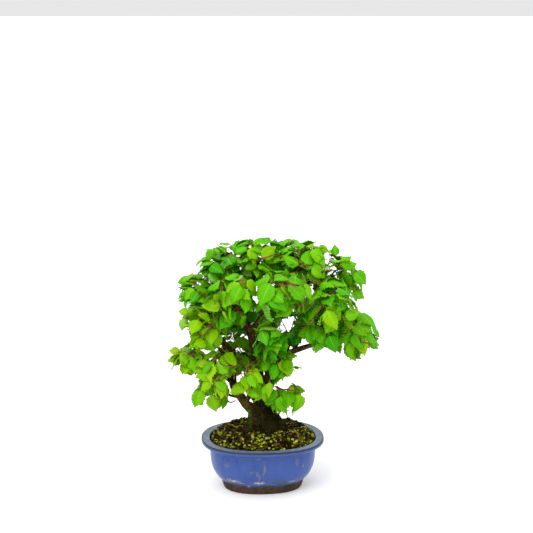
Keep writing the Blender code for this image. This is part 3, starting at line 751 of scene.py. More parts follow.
def limb_route(limb, routes, spaces):
    """A limb's own points, then those that run on inside its mass as a stem."""
    start = point_along(routes[limb.parent], limb.start)
    rng = random.Random("crook " + limb.name)
    if isinstance(limb.end, str):
        mass = mass_named(limb.end)
        centre = Vector(mass.centre)
        heart = centre + (start - centre).normalized() * HEART_DEPTH * min(mass.radii)
        points = bend(start, heart, Vector(limb.bow), LIMB_STEPS)
        entry = len(points) - 1
        while (points[entry - 1] - start).length > SHORTEST_BOUGH and inside(
            mass, spaces[mass.name], points[entry - 1], ENTRY_DEPTH
        ):
            entry -= 1
        own = points[:entry + 1]
        stem = points[entry:]
    else:
        own = bend(start, Vector(limb.end), Vector(limb.bow), LIMB_STEPS)
        stem = []
    count = STEM_RINGS if limb.radius > STEM_RADIUS else BOUGH_RINGS
    route = [point_along(own, share) for share in levels(0.0, 1.0, count)]
    for index in range(1, count - 1):
        crook = limb.radius * LIMB_CROOK
        route[index] += Vector([rng.uniform(-crook, crook) for axis in range(3)])
    return route, stem


def limb_shape(limb, route, swell):
    """A limb's tube, moved out by swell, and lengthened by it at the tip."""
    radii = levels(limb.radius + swell, limb.tip_radius + swell, len(route))
    if swell:
        ahead = (route[-1] - route[-2]).normalized()
        route = route[:-1] + [route[-1] + ahead * swell]
    return tube(route, radii, LIMB_SIDES)


def tree_of(points, faces):
    """A search tree that tells whether two shapes cross."""
    return BVHTree.FromPolygons(points, faces)


def leaf_shape(root, axis, normal, length):
    """The solid's plain blade, which keeps a leaf's place clear of others; RIDGE is its ridge."""
    side = normal.cross(axis)
    half_width = length * LEAF_WIDTH / 2
    widest = root + axis * (length * LEAF_WIDEST)
    points = [
        root - axis * LEAF_SINK,
        widest - side * half_width,
        root + axis * length - normal * (length * LEAF_DROOP),
        widest + side * half_width,
        widest + normal * (length * LEAF_THICKNESS),
    ]
    faces = [[0, 1, 4], [1, 2, 4], [2, 3, 4], [3, 0, 4], [0, 3, 1], [1, 3, 2]]
    return points, faces


def leaf_pose(rng, mass, point, along, hand, looseness):
    """Where a leaf points and faces: out from its twig, drooping, its face up and outward."""
    away = outward(point)
    own = (point - Vector(mass.centre)).normalized()
    side = along.cross(UP)
    if side.length < UPRIGHT_TWIG:
        side = along.orthogonal()
    side.normalize()
    loose = Vector([rng.uniform(-looseness, looseness) for part in range(3)])
    droop = HANG + OUTER_HANG * (1 - max(away.z, 0.0))
    axis = side * (hand * SIDE_PULL) + along * TWIG_PULL + away * OUTWARD_PULL + own * OWN_PULL
    axis += loose - UP * droop
    axis.normalize()
    loose = Vector([rng.uniform(-FACE_LOOSENESS, FACE_LOOSENESS) for part in range(3)])
    face = away * FACE_OUTWARD + own * FACE_OWN + UP * FACE_UP + loose
    normal = face - axis * face.dot(axis)
    normal.normalize()
    return axis, normal


def twig_routes(rng, mass, planes, stem):
    """The twigs of a mass, spread by the golden angle round the way it faces."""
    centre = Vector(mass.centre)
    facing = outward(centre)
    side = facing.orthogonal().normalized()
    other = facing.cross(side)
    turn = rng.uniform(0, math.tau)
    routes = []
    for index in range(TWIGS):
        share = (index + 0.5) / TWIGS
        polar = math.acos(1 - share * (1 - math.cos(TWIG_SPREAD)))
        angle = turn + index * GOLDEN_ANGLE
        direction = facing * math.cos(polar)
        direction += (side * math.cos(angle) + other * math.sin(angle)) * math.sin(polar)
        reach = ellipsoid_reach(mass, direction) * TWIG_REACH * rng.uniform(*TWIG_REACH_SPREAD)
        target = centre + direction * reach
        while not inside(mass, planes, target, TWIG_DEPTH) and reach > SHORTEST_TWIG:
            reach *= TWIG_SHORTENING
            target = centre + direction * reach
        start = point_along(stem, 1.0 - TWIGGED_SHARE * index / (TWIGS - 1))
        arch = UP * TWIG_ARCH * (target - start).length
        pieces = 2 if (target - start).length > STRAIGHT_TWIG else 1
        routes.append(bend(start, target, arch, pieces))
    return routes


# Room for the shapes that are remembered, and a place that is far from all of them
MOST_SHAPES = 8000
FAR_AWAY = 1.0e6

# A leaf hangs from a root on its twig; spray tells which leaves share a twig and so a tint
Leaf = namedtuple("Leaf", "root axis normal length mass spray")
Twig = namedtuple("Twig", "route radius tip_radius mass")


class Growth:
    """All that has grown so far, with the search trees that keep new growth clear of it."""

    def __init__(self, limb_trees):
        self.limb_trees = limb_trees
        self.stems = []
        self.twigs = []
        self.leaves = []
        self.wood = {mass.name: [] for mass in MASSES}
        self.middles = np.full((MOST_SHAPES, 3), FAR_AWAY)
        self.leafy = np.full((MOST_SHAPES, 3), FAR_AWAY)
        self.trees = []
        self.sprays = 0

    def keep(self, middle, tree, is_leaf):
        """Remember a shape that later leaves may not cross."""
        self.middles[len(self.trees)] = middle
        if is_leaf:
            self.leafy[len(self.trees)] = middle
        self.trees.append(tree)

    def crosses(self, tree, point):
        """Whether a shape crosses a limb or anything kept that is near a point."""
        if any(tree.overlap(limb_tree) for limb_tree in self.limb_trees):
            return True
        gaps = self.middles - np.array(point)
        near = np.nonzero((gaps * gaps).sum(axis=1) < CROSSING_REACH ** 2)[0]
        return any(tree.overlap(self.trees[index]) for index in near)

    def is_leafy(self, point):
        """Whether a leaf's middle is near a point."""
        gaps = self.leafy - np.array(point)
        return bool((gaps * gaps).sum(axis=1).min() < FILL_SPACING ** 2)

    def add_wood(self, mass, route):
        """Remember points of a stem or twig that finer twigs may start from."""
        shares = levels(0.0, 1.0, WOOD_PLACES)
        self.wood[mass.name].extend(point_along(route, share) for share in shares)

    def nearest_wood(self, mass, point):
        """The point of a mass's own stem and twigs that is nearest to a place."""
        return min(self.wood[mass.name], key=lambda place: (place - point).length_squared)


def camera_turn():
    """How the camera is turned."""
    tilt = Matrix.Rotation(math.pi / 2 - CAMERA_PITCH, 3, "X")
    return Matrix.Rotation(CAMERA_HEADING, 3, "Z") @ tilt


def sight(pixel):
    """Which way the camera looks at a pixel."""
    across = (pixel[0] - FRAME_CENTRE[0]) / FOCAL_PIXELS
    up = (FRAME_CENTRE[1] - pixel[1]) / FOCAL_PIXELS
    return camera_turn() @ Vector((across, up, -1.0))


def front_place(mass, pixel):
    """The place on the near side of a mass's oval that is seen at a pixel."""
    ahead = sight(pixel)
    start = Vector(CAMERA_PLACE) - Vector(mass.centre)
    from_middle = Vector([value / radius for value, radius in zip(start, mass.radii)])
    along = Vector([value / radius for value, radius in zip(ahead, mass.radii)])
    nearest = -from_middle.dot(along) / along.length_squared
    off = (from_middle + along * nearest).length_squared
    back = math.sqrt(max(1 - off, 0.0)) / along.length
    return Vector(CAMERA_PLACE) + ahead * (nearest - back)


def grow_front_twigs(growth):
    """The twigs that the photograph shows in front of the leaves."""
    for twig in FRONT_TWIGS:
        mass = mass_named(twig.mass)
        shown = [front_place(mass, pixel) for pixel in twig.pixels]
        route = smooth_route([growth.nearest_wood(mass, shown[0])] + shown, FRONT_TWIG_STEP)
        growth.twigs.append(Twig(route, FRONT_TWIG_RADIUS, FRONT_TWIG_TIP_RADIUS, mass))


def level_place(mass, pixel):
    """The place seen at a pixel that is as far from the camera as a mass's middle."""
    view = camera_turn() @ Vector((0.0, 0.0, -1.0))
    reach = (Vector(mass.centre) - Vector(CAMERA_PLACE)).dot(view)
    return Vector(CAMERA_PLACE) + sight(pixel) * reach


def grow_edge_leaves(growth):
    """The leaves that the photograph shows standing out, on twigs of their own."""
    for leaf in EDGE_LEAVES:
        mass = mass_named(leaf.mass)
        nearer = -sight(leaf.foot).normalized()
        foot = level_place(mass, leaf.foot)
        tip = level_place(mass, leaf.tip)
        axis = (tip - foot).normalized()
        face = nearer * leaf.facing + UP * (1.0 - leaf.facing)
        normal = (face - axis * face.dot(axis)).normalized()
        length = (tip - foot).length / BLADE_GROWTH
        for attempt in range(EDGE_TRIES):
            shape = leaf_shape(foot, axis, normal, length)
            tree = tree_of(*shape)
            if not growth.crosses(tree, foot):
                break
            foot += nearer * EDGE_STEP
        route = bend(growth.nearest_wood(mass, foot), foot, FINE_TWIG_BOW, EDGE_TWIG_STEPS)
        growth.sprays += 1
        growth.twigs.append(Twig(route, FINE_TWIG_RADIUS, FINE_TWIG_RADIUS, mass))
        growth.leaves.append(Leaf(foot, axis, normal, length, mass, growth.sprays))
        growth.keep(shape[0][RIDGE], tree, True)


def in_window(point):
    """Whether a place is seen in one of the windows from where the photograph was taken."""
    seen = camera_turn().transposed() @ (point - Vector(CAMERA_PLACE))
    across = FRAME_CENTRE[0] + FOCAL_PIXELS * seen.x / -seen.z
    down = FRAME_CENTRE[1] - FOCAL_PIXELS * seen.y / -seen.z
    for window in WINDOWS:
        aside = (across - window.middle[0]) / window.reach[0]
        below = (down - window.middle[1]) / window.reach[1]
        if aside * aside + below * below < 1 and point.y < window.deep:
            return True
    return False


def clear_of_windows(corners):
    """Whether a blade's corners, ridge and the middles of its edges stay out of the windows."""
    root, left, tip, right, ridge = corners
    middles = [(one + two) / 2 for one, two in ((left, tip), (tip, right), (ridge, tip))]
    return not any(in_window(place) for place in [left, tip, right, ridge] + middles)


def place_leaf(rng, mass, planes, point, along, hand, blades, limb_trees):
    """The first pose of a leaf that stays in its space and crosses nothing, or None."""
    size = mass.leaf_length * rng.uniform(*LEAF_SIZE_SPREAD)
    for attempt in range(LEAF_TRIES):
        looseness = LEAF_LOOSENESS + LEAF_LOOSENESS_GAIN * attempt
        axis, normal = leaf_pose(rng, mass, point, along, hand, looseness)
        length = size * LEAF_SHRINK ** attempt
        shape = leaf_shape(point, axis, normal, length)
        if not all(inside(mass, planes, corner, 0.0) for corner in shape[0]):
            continue
        tree = tree_of(*shape)
        if any(tree.overlap(limb_tree) for limb_tree in limb_trees):
            continue
        near = [blade for middle, blade in blades if (middle - point).length < 2 * mass.leaf_length]
        if any(tree.overlap(blade) for blade in near):
            continue
        return shape[0], tree, axis, normal, length
    return None


def grow_mass(growth, mass, planes, stem, ahead, stem_radius):
    """Stem, twigs and leaves of a mass, where its solid has them."""
    rng = random.Random("growth " + mass.name)
    entry = stem[0] + ahead * GAP
    stem_route = [entry, entry + ahead * STEM_LEAD, point_along(stem, STEM_BEND), stem[-1]]
    growth.stems.append((stem_route, stem_radius))
    growth.add_wood(mass, stem_route)
    blades = []
    for route in twig_routes(rng, mass, planes, stem_route):
        radii = levels(TWIG_RADIUS, TWIG_TIP_RADIUS, len(route))
        shape = tube(route, radii, TWIG_SIDES)
        shape_tree = tree_of(*shape)
        free = all(inside(mass, planes, point, 0.0) for point in shape[0])
        if not free or any(shape_tree.overlap(tree) for tree in growth.limb_trees):
            continue
        growth.twigs.append(Twig(route, TWIG_RADIUS, TWIG_TIP_RADIUS, mass))
        growth.add_wood(mass, route)
        growth.sprays += 1
        growth.keep(point_along(route, 0.5), shape_tree, False)
        blades.append((point_along(route, 0.5), shape_tree))
        length = sum((route[step + 1] - route[step]).length for step in range(len(route) - 1))
        count = max(2, round(length / LEAF_SPACING))
        for number in range(count):
            share = 1.0 - number * LEAF_SPACING / length
            if share < BARE_SHARE:
                break
            point = point_along(route, share)
            along = (route[-1] - route[0]).normalized()
            hand = (1 if number % 2 else -1) if number else 0
            found = place_leaf(rng, mass, planes, point, along, hand, blades[:-1], growth.limb_trees)
            if found:
                corners, tree, axis, normal, size = found
                blades.insert(0, (corners[RIDGE], tree))
                if clear_of_windows(corners):
                    growth.leaves.append(Leaf(point, axis, normal, size, mass, growth.sprays))
                    growth.keep(corners[RIDGE], tree, True)


def grow_fine(growth, twig):
    """Side twigs of a twig, each with smaller leaves that cross nothing."""
    rng = random.Random("fine %s %.3f" % (twig.mass.name, twig.route[-1].x))
    along = (twig.route[-1] - twig.route[0]).normalized()
    for number, share in enumerate(FINE_SHARES):
        start = point_along(twig.route, share)
        hand = 1 if number % 2 else -1
        side = along.cross(UP).normalized() * hand
        for attempt in range(FINE_TRIES):
            loose = Vector([rng.uniform(-FINE_SPREAD, FINE_SPREAD) for axis in range(3)])
            direction = along * FINE_ALONG + side * FINE_ASIDE + outward(start) * FINE_OUTWARD + loose
            end = start + direction.normalized() * rng.uniform(*FINE_TWIG_LENGTH)
            if place_spray(growth, rng, twig.mass, start, end):
                break


def fill_mass(growth, mass):
    """Fine twigs that grow from the nearest wood towards places with no leaf near."""
    rng = random.Random("fill " + mass.name)
    centre = Vector(mass.centre)
    for number in range(FILL_PLACES):
        direction = Vector([rng.gauss(0.0, 1.0) for axis in range(3)]).normalized()
        place = centre + direction * ellipsoid_reach(mass, direction) * rng.uniform(*FILL_SHELL)
        if growth.is_leafy(place) or in_window(place):
            continue
        end = place + UP * (FILL_LEAF_RISE * mass.leaf_length)
        start = growth.nearest_wood(mass, end)
        end += (start - end).normalized() * (FILL_LEAF_RISE * mass.leaf_length)
        if FILL_TWIG_LENGTH[0] < (end - start).length < FILL_TWIG_LENGTH[1]:
            place_spray(growth, rng, mass, start, end)


def place_spray(growth, rng, mass, start, end):
    """A fine twig with its leaves, if they stay in reach and cross nothing."""
    if not inside(mass, [], end, FINE_TWIG_DEPTH) or in_window(end):
        return False
    ahead = (end - start).normalized()
    reach = (end - start).length
    lifted = start + ahead * min(TWIG_RADIUS + FINE_TWIG_LIFT, reach / 2)
    route = bend(lifted, end, FINE_TWIG_BOW, FINE_TWIG_STEPS)
    shape = tube(route, [FINE_TWIG_RADIUS] * len(route), FINE_TWIG_SIDES)
    tree = tree_of(*shape)
    if growth.crosses(tree, end):
        return False
    size = mass.leaf_length * rng.uniform(*FINE_LEAF_SIZE)
    growth.sprays += 1
    if not add_free_leaf(growth, rng, mass, end, ahead, 0, size):
        growth.sprays -= 1
        return False
    route[0] = start
    growth.twigs.append(Twig(route, FINE_TWIG_RADIUS, FINE_TWIG_RADIUS * FINE_TWIG_TAPER, mass))
    growth.add_wood(mass, route)
    hand = rng.choice((-1, 1))
    for share in LONG_SPRAY_LEAVES if reach > LONG_SPRAY else SHORT_SPRAY_LEAVES:
        place = point_along(route, share)
        add_free_leaf(growth, rng, mass, place, ahead, hand, size * SIDE_LEAF_SIZE)
        hand = -hand
    growth.keep(point_along(route, 0.5), tree, False)
    return True


def add_free_leaf(growth, rng, mass, point, along, hand, size):
    """A fine leaf, if one stays in its mass's oval and crosses nothing; tells whether it does."""
    for attempt in range(FINE_TRIES):
        looseness = FINE_LOOSENESS + FINE_LOOSENESS_GAIN * attempt
        axis, normal = leaf_pose(rng, mass, point, along, hand, looseness)
        length = size * LEAF_SHRINK ** attempt
        clear = point + axis * (FINE_TWIG_RADIUS * 2)
        corners, faces = leaf_shape(clear, axis, normal, length - FINE_TWIG_RADIUS * 2)
        if not all(inside(mass, [], corner, 0.0) for corner in corners):
            continue
        if not clear_of_windows(corners):
            continue
        tree = tree_of(corners, faces)
        if not growth.crosses(tree, point):
            growth.leaves.append(Leaf(point, axis, normal, length, mass, growth.sprays))
            growth.keep(corners[RIDGE], tree, True)
            return True
    return False


def grow_all():
    """Routes of all limbs, and the growth of all masses."""
    spaces = {mass.name: mass_space(mass) for mass in MASSES}
    routes = {"trunk": [trunk_axis(share) for share in levels(0.0, 1.0, TRUNK_RINGS)]}
    stems = {}
    clear_shapes = [loft(trunk_rings(LIMB_CLEARANCE))]
    for limb in LIMBS:
        route, stem = limb_route(limb, routes, spaces)
        routes[limb.name] = route
        if stem:
            stems[limb.end] = (stem, (route[-1] - route[-2]).normalized(), limb.tip_radius)
        clear_shapes.append(limb_shape(limb, route, LIMB_CLEARANCE))
    growth = Growth([tree_of(points, faces) for points, faces in clear_shapes])
    for mass in MASSES:
        grow_mass(growth, mass, spaces[mass.name], *stems[mass.name])
    side_twigs = list(growth.twigs)
    grow_edge_leaves(growth)
    for twig in side_twigs:
        grow_fine(growth, twig)
    for mass in MASSES:
        fill_mass(growth, mass)
    grow_front_twigs(growth)
    return routes, growth


def start_material(name, gloss, roughness=0.5):
    """A material and its shader, with the shader's gloss and roughness."""
    material = bpy.data.materials.new(name)
    material.use_nodes = True
    shader = material.node_tree.nodes["Principled BSDF"]
    shader.inputs["Roughness"].default_value = roughness
    shader.inputs["Specular IOR Level"].default_value = gloss
    return material, shader


def plain_material(name, colour, roughness, gloss=0.1):
    """A material of one colour."""
    material, shader = start_material(name, gloss, roughness)
    shader.inputs["Base Color"].default_value = (*colour, 1.0)
    return material


def leaf_faces():
    """A leaf's faces, above and below, and each face's part."""
    lines = 2 * VEIN_PAIRS
    wide = 2 * len(BLADE_COLUMNS)
    step = 2 * wide - 2

    def corner(line, column, under):
        if line == 0:
            return 0
        first = 1 + (line - 1) * step
        if line == lines:
            return first
        if under and column not in (0, wide - 1):
            return first + wide + column - 1
        return first + column

    faces = []
    parts = []
    for column in range(wide - 1):
        upper_part = RIB_PART if column == wide // 2 - 1 else BLADE_PART
        for line in range(lines):
            for under, near, far in ((False, column, column + 1), (True, column + 1, column)):
                face = (
                    corner(line, near, under), corner(line + 1, near, under),
                    corner(line + 1, far, under), corner(line, far, under),
                )
                faces.append(tuple(dict.fromkeys(face)))
                parts.append(UNDER_PART if under else upper_part)
    return faces, parts


def blade_half_width(share):
    """An oval outline, rounded at the base and drawn out to the tip, 1 at its widest."""
    share = np.clip(share, 0.0, 1.0)
    drawn_out = 1 - TIP_POINT * np.clip((share - TIP_START) / (1 - TIP_START), 0.0, 1.0)
    return share ** BASE_ROUNDNESS * (1 - share) ** TIP_ROUNDNESS * OUTLINE_SCALE * drawn_out


def leaf_outline(rng, length):
    """The points of one blade: along x from its stalk, across y, up z."""
    lines = 2 * VEIN_PAIRS
    columns = np.array([-column for column in reversed(BLADE_COLUMNS)] + list(BLADE_COLUMNS))
    share = np.arange(1, lines)[:, None] / lines
    apart = np.abs(columns)[None, :]
    on_edge = apart == BLADE_COLUMNS[-1]
    on_rib = apart == BLADE_COLUMNS[0]
    slant = VEIN_SLANT * np.minimum(1.0, share / SLANT_START) * (1 - share)
    valley = (np.arange(1, lines) % 2 == 0)[:, None]
    reach = np.where(on_edge, np.where(valley, TOOTH_IN, TOOTH_OUT), 1.0)
    width = length * BLADE_WIDTH / 2 * rng.uniform(*WIDTH_SPREAD)
    across = columns[None, :] * width * blade_half_width(share + slant) * reach
    along = share + slant * apart + np.where(on_edge & ~valley, TOOTH_LEAN, 0.0)

    droop = rng.uniform(*DROOP_SPREAD)
    curl = rng.uniform(*CURL_SPREAD)
    fold = rng.uniform(*FOLD_SPREAD)
    sway = rng.uniform(*SWAY_SPREAD)
    wave = rng.uniform(*WAVE_SPREAD)
    phase = rng.uniform(0, math.tau)
    pleat = PLEAT * length * np.sin(np.pi * np.minimum(apart * PLEAT_REACH, 1.0)) ** PLEAT_ROUNDNESS
    waves = np.sin(along * WAVE_TURNS + phase + columns[None, :])
    rise = -droop * along ** 2 * length
    rise = rise + fold * np.abs(across) - curl * across ** 2 / width
    rise = rise + wave * length * apart ** 2 * waves
    rise = rise + np.where(valley, pleat, -pleat)
    rise = rise - np.where(on_rib, RIB_GROOVE * length, 0.0)
    across = across + sway * along ** 2 * length

    upper = np.stack([along * length, across, rise], axis=2)
    lower = upper[:, 1:-1].copy()
    lower[:, :, 2] -= BLADE_THICKNESS
    rib = len(BLADE_COLUMNS) - 2
    lower[:, rib:rib + 2, 2] -= RIB_THICKNESS
    body = np.concatenate([upper, lower], axis=1).reshape(-1, 3)
    tip = np.array([[length, sway * length, -droop * length]])
    return np.concatenate([np.zeros((1, 3)), body, tip])


def add_leaf(shape, rng, leaf, faces, looks):
    """Put one leaf's blade in a mesh."""
    side = leaf.normal.cross(leaf.axis)
    stalk = leaf.length * STALK_SHARE
    base = leaf.root + leaf.axis * stalk
    local = leaf_outline(rng, (leaf.length - stalk) * BLADE_GROWTH)
    turn = np.array([leaf.axis, side, leaf.normal])
    points = local @ turn + np.array(base)
    shape.add([tuple(point) for point in points], faces, looks)


def leaf_tint(rng, leaf, spray_shift):
    """Which of the greens a leaf has: by its mass, its spray and itself, some a pale green for painted
    sheen, darker deep in the crown for painted shade, and darker high up.
    """
    depth = 1 - min((leaf.root - CROWN_CENTRE).length / CROWN_REACH, 1.0)
    # a share of the leaves gets one of the pale greens: a painted whitish sheen
    if rng.random() < SHEEN_PAINTED_SHARE:
        return rng.choice(SHEEN_PAINTED_TINTS)
    place = leaf.mass.tint * TINT_RANGE + spray_shift + rng.uniform(-OWN_SHIFT, OWN_SHIFT)
    # painted shade: leaves nearer the crown's middle get darker greens
    place -= depth * DEPTH_SHADE_SHIFT
    place -= HIGH_LEAVES_DARKER * smooth_step(*HIGH_LEAVES, leaf.root.z)
    return int(min(max(round(place), 0), BRIGHTEST_TINT))


def build_leaves(growth):
    """The leaf pieces, in plain greens dealt out by spray."""
    materials = []
    for number, tint in enumerate(LEAF_TINTS):
        vein = blend_colour(tint, PALE_GREEN, VEIN_PALER)
        under = blend_colour(tint, PALE_GREEN, UNDERSIDE_PALER)
        # leaves with the painted sheen are also given more gloss
        gloss = SHEEN_PAINTED_LEAF_GLOSS if number in SHEEN_PAINTED_TINTS else LEAF_GLOSS
        materials.append(plain_material("leaf_%d" % number, tint, LEAF_ROUGHNESS, gloss))
        materials.append(plain_material("leaf_vein_%d" % number, vein, VEIN_ROUGHNESS, LEAF_GLOSS))
        materials.append(plain_material("leaf_under_%d" % number, under, UNDERSIDE_ROUGHNESS))
    faces, parts = leaf_faces()
    for name, members in LEAF_PIECES.items():
        rng = random.Random(name)
        shape = Shape()
        nodes = [member + "_mass" for member in members]
        shifts = {}
        for leaf in growth.leaves:
            if leaf.mass.name not in nodes:
                continue
            if leaf.spray not in shifts:
                shifts[leaf.spray] = rng.uniform(-SPRAY_SHIFT, SPRAY_SHIFT)
            tint = leaf_tint(rng, leaf, shifts[leaf.spray])
            add_leaf(shape, rng, leaf, faces, [tint * PARTS + part for part in parts])
        obj = shape.build(name, materials)
        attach(obj, "root")
        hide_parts(*nodes)


def smooth_route(route, spacing):
    """A route's points joined by a smooth curve, about spacing apart."""
    ends = [route[0] * 2 - route[1]] + list(route) + [route[-1] * 2 - route[-2]]
    points = []
    for index in range(1, len(ends) - 2):
        before, here, there, after = ends[index - 1:index + 3]
        steps = max(1, round((there - here).length / spacing))
        for step in range(steps):
            share = step / steps
            square = share * share
            cube = square * share
            points.append((
                here * 2 + (there - before) * share
                + (before * 2 - here * 5 + there * 4 - after) * square
                + (here * 3 - before - there * 3 + after) * cube
            ) / 2)
    points.append(route[-1].copy())
    return points


# Twigs as they are shown: crooked, uneven and slimmer towards the tip
TWIG_CROOK = 0.9
TWIG_STEP = 3.0
TWIG_SLIMNESS = (0.95, 0.70)
TWIG_UNEVENNESS = (0.88, 1.18)
SHOWN_TWIG_SIDES = 5


def build_twigs(growth, bark, stalk_bark):
    """Twigs and leaf stalks, joined."""
    rng = random.Random("twigs")
    shape = Shape()
    for twig in growth.twigs:
        route = [point.copy() for point in twig.route]
        if len(route) == 2:
            route.insert(1, route[0].lerp(route[1], 0.5))
        for index in range(1, len(route) - 1):
            route[index] += Vector([rng.uniform(-TWIG_CROOK, TWIG_CROOK) for axis in range(3)])
        fine = smooth_route(route, TWIG_STEP)
        radii = levels(twig.radius * TWIG_SLIMNESS[0], twig.tip_radius * TWIG_SLIMNESS[1], len(fine))
        for index in range(1, len(fine) - 1):
            radii[index] *= rng.uniform(*TWIG_UNEVENNESS)
        shape.add(*tube(fine, radii, SHOWN_TWIG_SIDES), 0)
    for leaf in growth.leaves:
        base = leaf.root + leaf.axis * (leaf.length * STALK_SHARE + STALK_OVERLAP)
        route = bend(leaf.root, base, leaf.normal * STALK_ARCH, 2)
        radii = levels(STALK_RADIUS, STALK_RADIUS * STALK_TAPER, len(route))
        shape.add(*tube(route, radii, STALK_SIDES), 1)
    obj = shape.build("twigs", [bark, stalk_bark])
    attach(obj, "root")


# Wood: one skin round the trunk and all limbs
BARK_VOXEL = 0.95
SKIN_SMOOTHING = 0.5
SKIN_SMOOTHINGS = 3
WOOD_STEP = 2.2
WOOD_SIDES = 20
STEM_OVERLAP = 0.5
STEM_TAPER = 0.7
SHOWN_TRUNK_SIDES = 64
SHOWN_TRUNK_RINGS = 24
TRUNK_SUNK = 2.0
TRUNK_FOOT_SWELL = 1.0
TRUNK_SAMPLES = 16

# The gap at the fork, in the photograph's pixels, and from how near to how deep it is cut
FORK_GAP = ((249.2, 400.9), (250.9, 397.9), (253.6, 403.2))
FORK_GAP_DEPTHS = (-60.0, 70.0)

# The bark's relief, in millimetres, by the girth of the wood that it stands on
FISSURE_ACROSS = 3.4
FISSURE_ALONG = 13.0
FISSURE_DEEPEST = 1.15
FISSURE_SHALLOWEST = 0.10
FISSURE_WIDTH = 0.20
FISSURE_LEVEL = 0.8
FULL_BARK_GIRTH = 15.0
THIN_BARK_GIRTH = 2.0
THINNEST_GIRTH = 1.0
THIN_BARK_SCALE = 0.55
GIRTH_LIMIT = 1.3
LINES_APART = 7.3
LUMP_SCALE = 0.11
LUMP_LIFT = 0.9
BARK_GRAIN_SCALE = 0.8
BARK_GRAIN_LIFT = 0.25
RELIEF_OF_CRACKS = 0.75


def wood_lines(routes, growth):
    """The middle line and radii of each limb, and of the stems that carry them on."""
    lines = []
    for limb in LIMBS:
        fine = smooth_route(routes[limb.name], WOOD_STEP)
        lines.append((fine, levels(limb.radius, limb.tip_radius, len(fine))))
    for route, radius in growth.stems:
        start = route[0] - (route[1] - route[0]) * STEM_OVERLAP
        fine = smooth_route([start] + list(route[1:]), WOOD_STEP)
        lines.append((fine, levels(radius, STEM_TIP_RADIUS * STEM_TAPER, len(fine))))
    return lines


def fork_gap():
    """The wedge of air between the left stem and the trunk, along the line of sight."""
    rings = []
    for depth in FORK_GAP_DEPTHS:
        ring = []
        for pixel in FORK_GAP:
            ahead = sight(pixel)
            start = Vector(CAMERA_PLACE)
            ring.append(start + ahead * ((depth - start.y) / ahead.y))
        rings.append(ring)
    wedge = Shape()
    wedge.add(*loft(rings))
    return wedge.build("fork_gap", [])


def voxel_skin(shape, gap):
    """One skin round overlapping bodies without the gap, slightly smoothed."""
    rough = shape.build("rough_wood", [])
    remesh = rough.modifiers.new("skin", "REMESH")
    remesh.mode = "VOXEL"
    remesh.voxel_size = BARK_VOXEL * MILLIMETRE
    cut = rough.modifiers.new("cut", "BOOLEAN")
    cut.operation = "DIFFERENCE"
    cut.object = gap
    smooth = rough.modifiers.new("smooth", "SMOOTH")
    smooth.factor = SKIN_SMOOTHING
    smooth.iterations = SKIN_SMOOTHINGS
    depsgraph = bpy.context.evaluated_depsgraph_get()
    mesh = bpy.data.meshes.new_from_object(rough.evaluated_get(depsgraph))
    bpy.data.objects.remove(rough, do_unlink=True)
    bpy.data.objects.remove(gap, do_unlink=True)
    return mesh


def wood_samples(lines):
    """Points along the trunk and limbs: place, direction, way travelled, radius and line."""
    shares = levels(0.0, 1.0, TRUNK_SAMPLES)
    trunk_line = [trunk_axis(share) for share in shares]
    trunk_sides = [trunk_ring(share, TRUNK_SIDES, 0.0)[0] for share in shares]
    trunk_radii = [(side - middle).length for side, middle in zip(trunk_sides, trunk_line)]
    samples = []
    for number, (fine, radii) in enumerate([(trunk_line, trunk_radii)] + lines):
        travelled = 0.0
        for index, point in enumerate(fine):
            before = fine[max(index - 1, 0)]
            after = fine[min(index + 1, len(fine) - 1)]
            travelled += (point - before).length
            samples.append((point, (after - before).normalized(), travelled, radii[index], number))
    return samples


def bark_relief(place, sample):
    """How far the bark is lifted at a place, its relief from 0 to 1, and the wood's girth there."""
    middle, direction, travelled, radius, number = sample
    offset = place - middle
    forward = offset.dot(direction)
    round_about = offset - direction * forward
    girth = min(round_about.length, radius * GIRTH_LIMIT)
    full = smooth_step(THIN_BARK_GIRTH, FULL_BARK_GIRTH, girth)
    size = THIN_BARK_SCALE + (1 - THIN_BARK_SCALE) * full
    query = round_about / (FISSURE_ACROSS * size)
    query += direction * ((travelled + forward) / (FISSURE_ALONG * size) + number * LINES_APART)
    crack = min(abs(noise.noise(query)) / FISSURE_WIDTH, 1.0)
    lumps = noise.noise(place * LUMP_SCALE)
    grain = noise.noise(place * BARK_GRAIN_SCALE)
    relief = crack * RELIEF_OF_CRACKS + (1 - RELIEF_OF_CRACKS) * (0.5 + 0.5 * grain)
    deep = FISSURE_DEEPEST * smooth_step(THINNEST_GIRTH, FULL_BARK_GIRTH, girth) + FISSURE_SHALLOWEST
    lift = deep * (crack - FISSURE_LEVEL + BARK_GRAIN_LIFT * grain + LUMP_LIFT * lumps)
    return lift, relief, girth


def raise_bark(mesh, samples):
    """Move a mesh's points by the bark's relief, and keep relief and girth for its material."""
    tree = KDTree(len(samples))
    for index, sample in enumerate(samples):
        tree.insert(sample[0], index)
    tree.balance()
    count = len(mesh.vertices)
    places = np.empty(count * 3)
    mesh.vertices.foreach_get("co", places)
    places = places.reshape(-1, 3) / MILLIMETRE
    normals = np.empty(count * 3)
    mesh.vertex_normals.foreach_get("vector", normals)
    normals = normals.reshape(-1, 3)
    reliefs = np.empty(count)
    girths = np.empty(count)
    for index in range(count):
        place = Vector(places[index])
        sample = samples[tree.find(place)[1]]
        lift, reliefs[index], girths[index] = bark_relief(place, sample)
        places[index] += normals[index] * lift
    mesh.vertices.foreach_set("co", (places * MILLIMETRE).ravel())
    for name, values in (("relief", reliefs), ("girth", girths)):
        mesh.attributes.new(name, "FLOAT", "POINT").data.foreach_set("value", values)


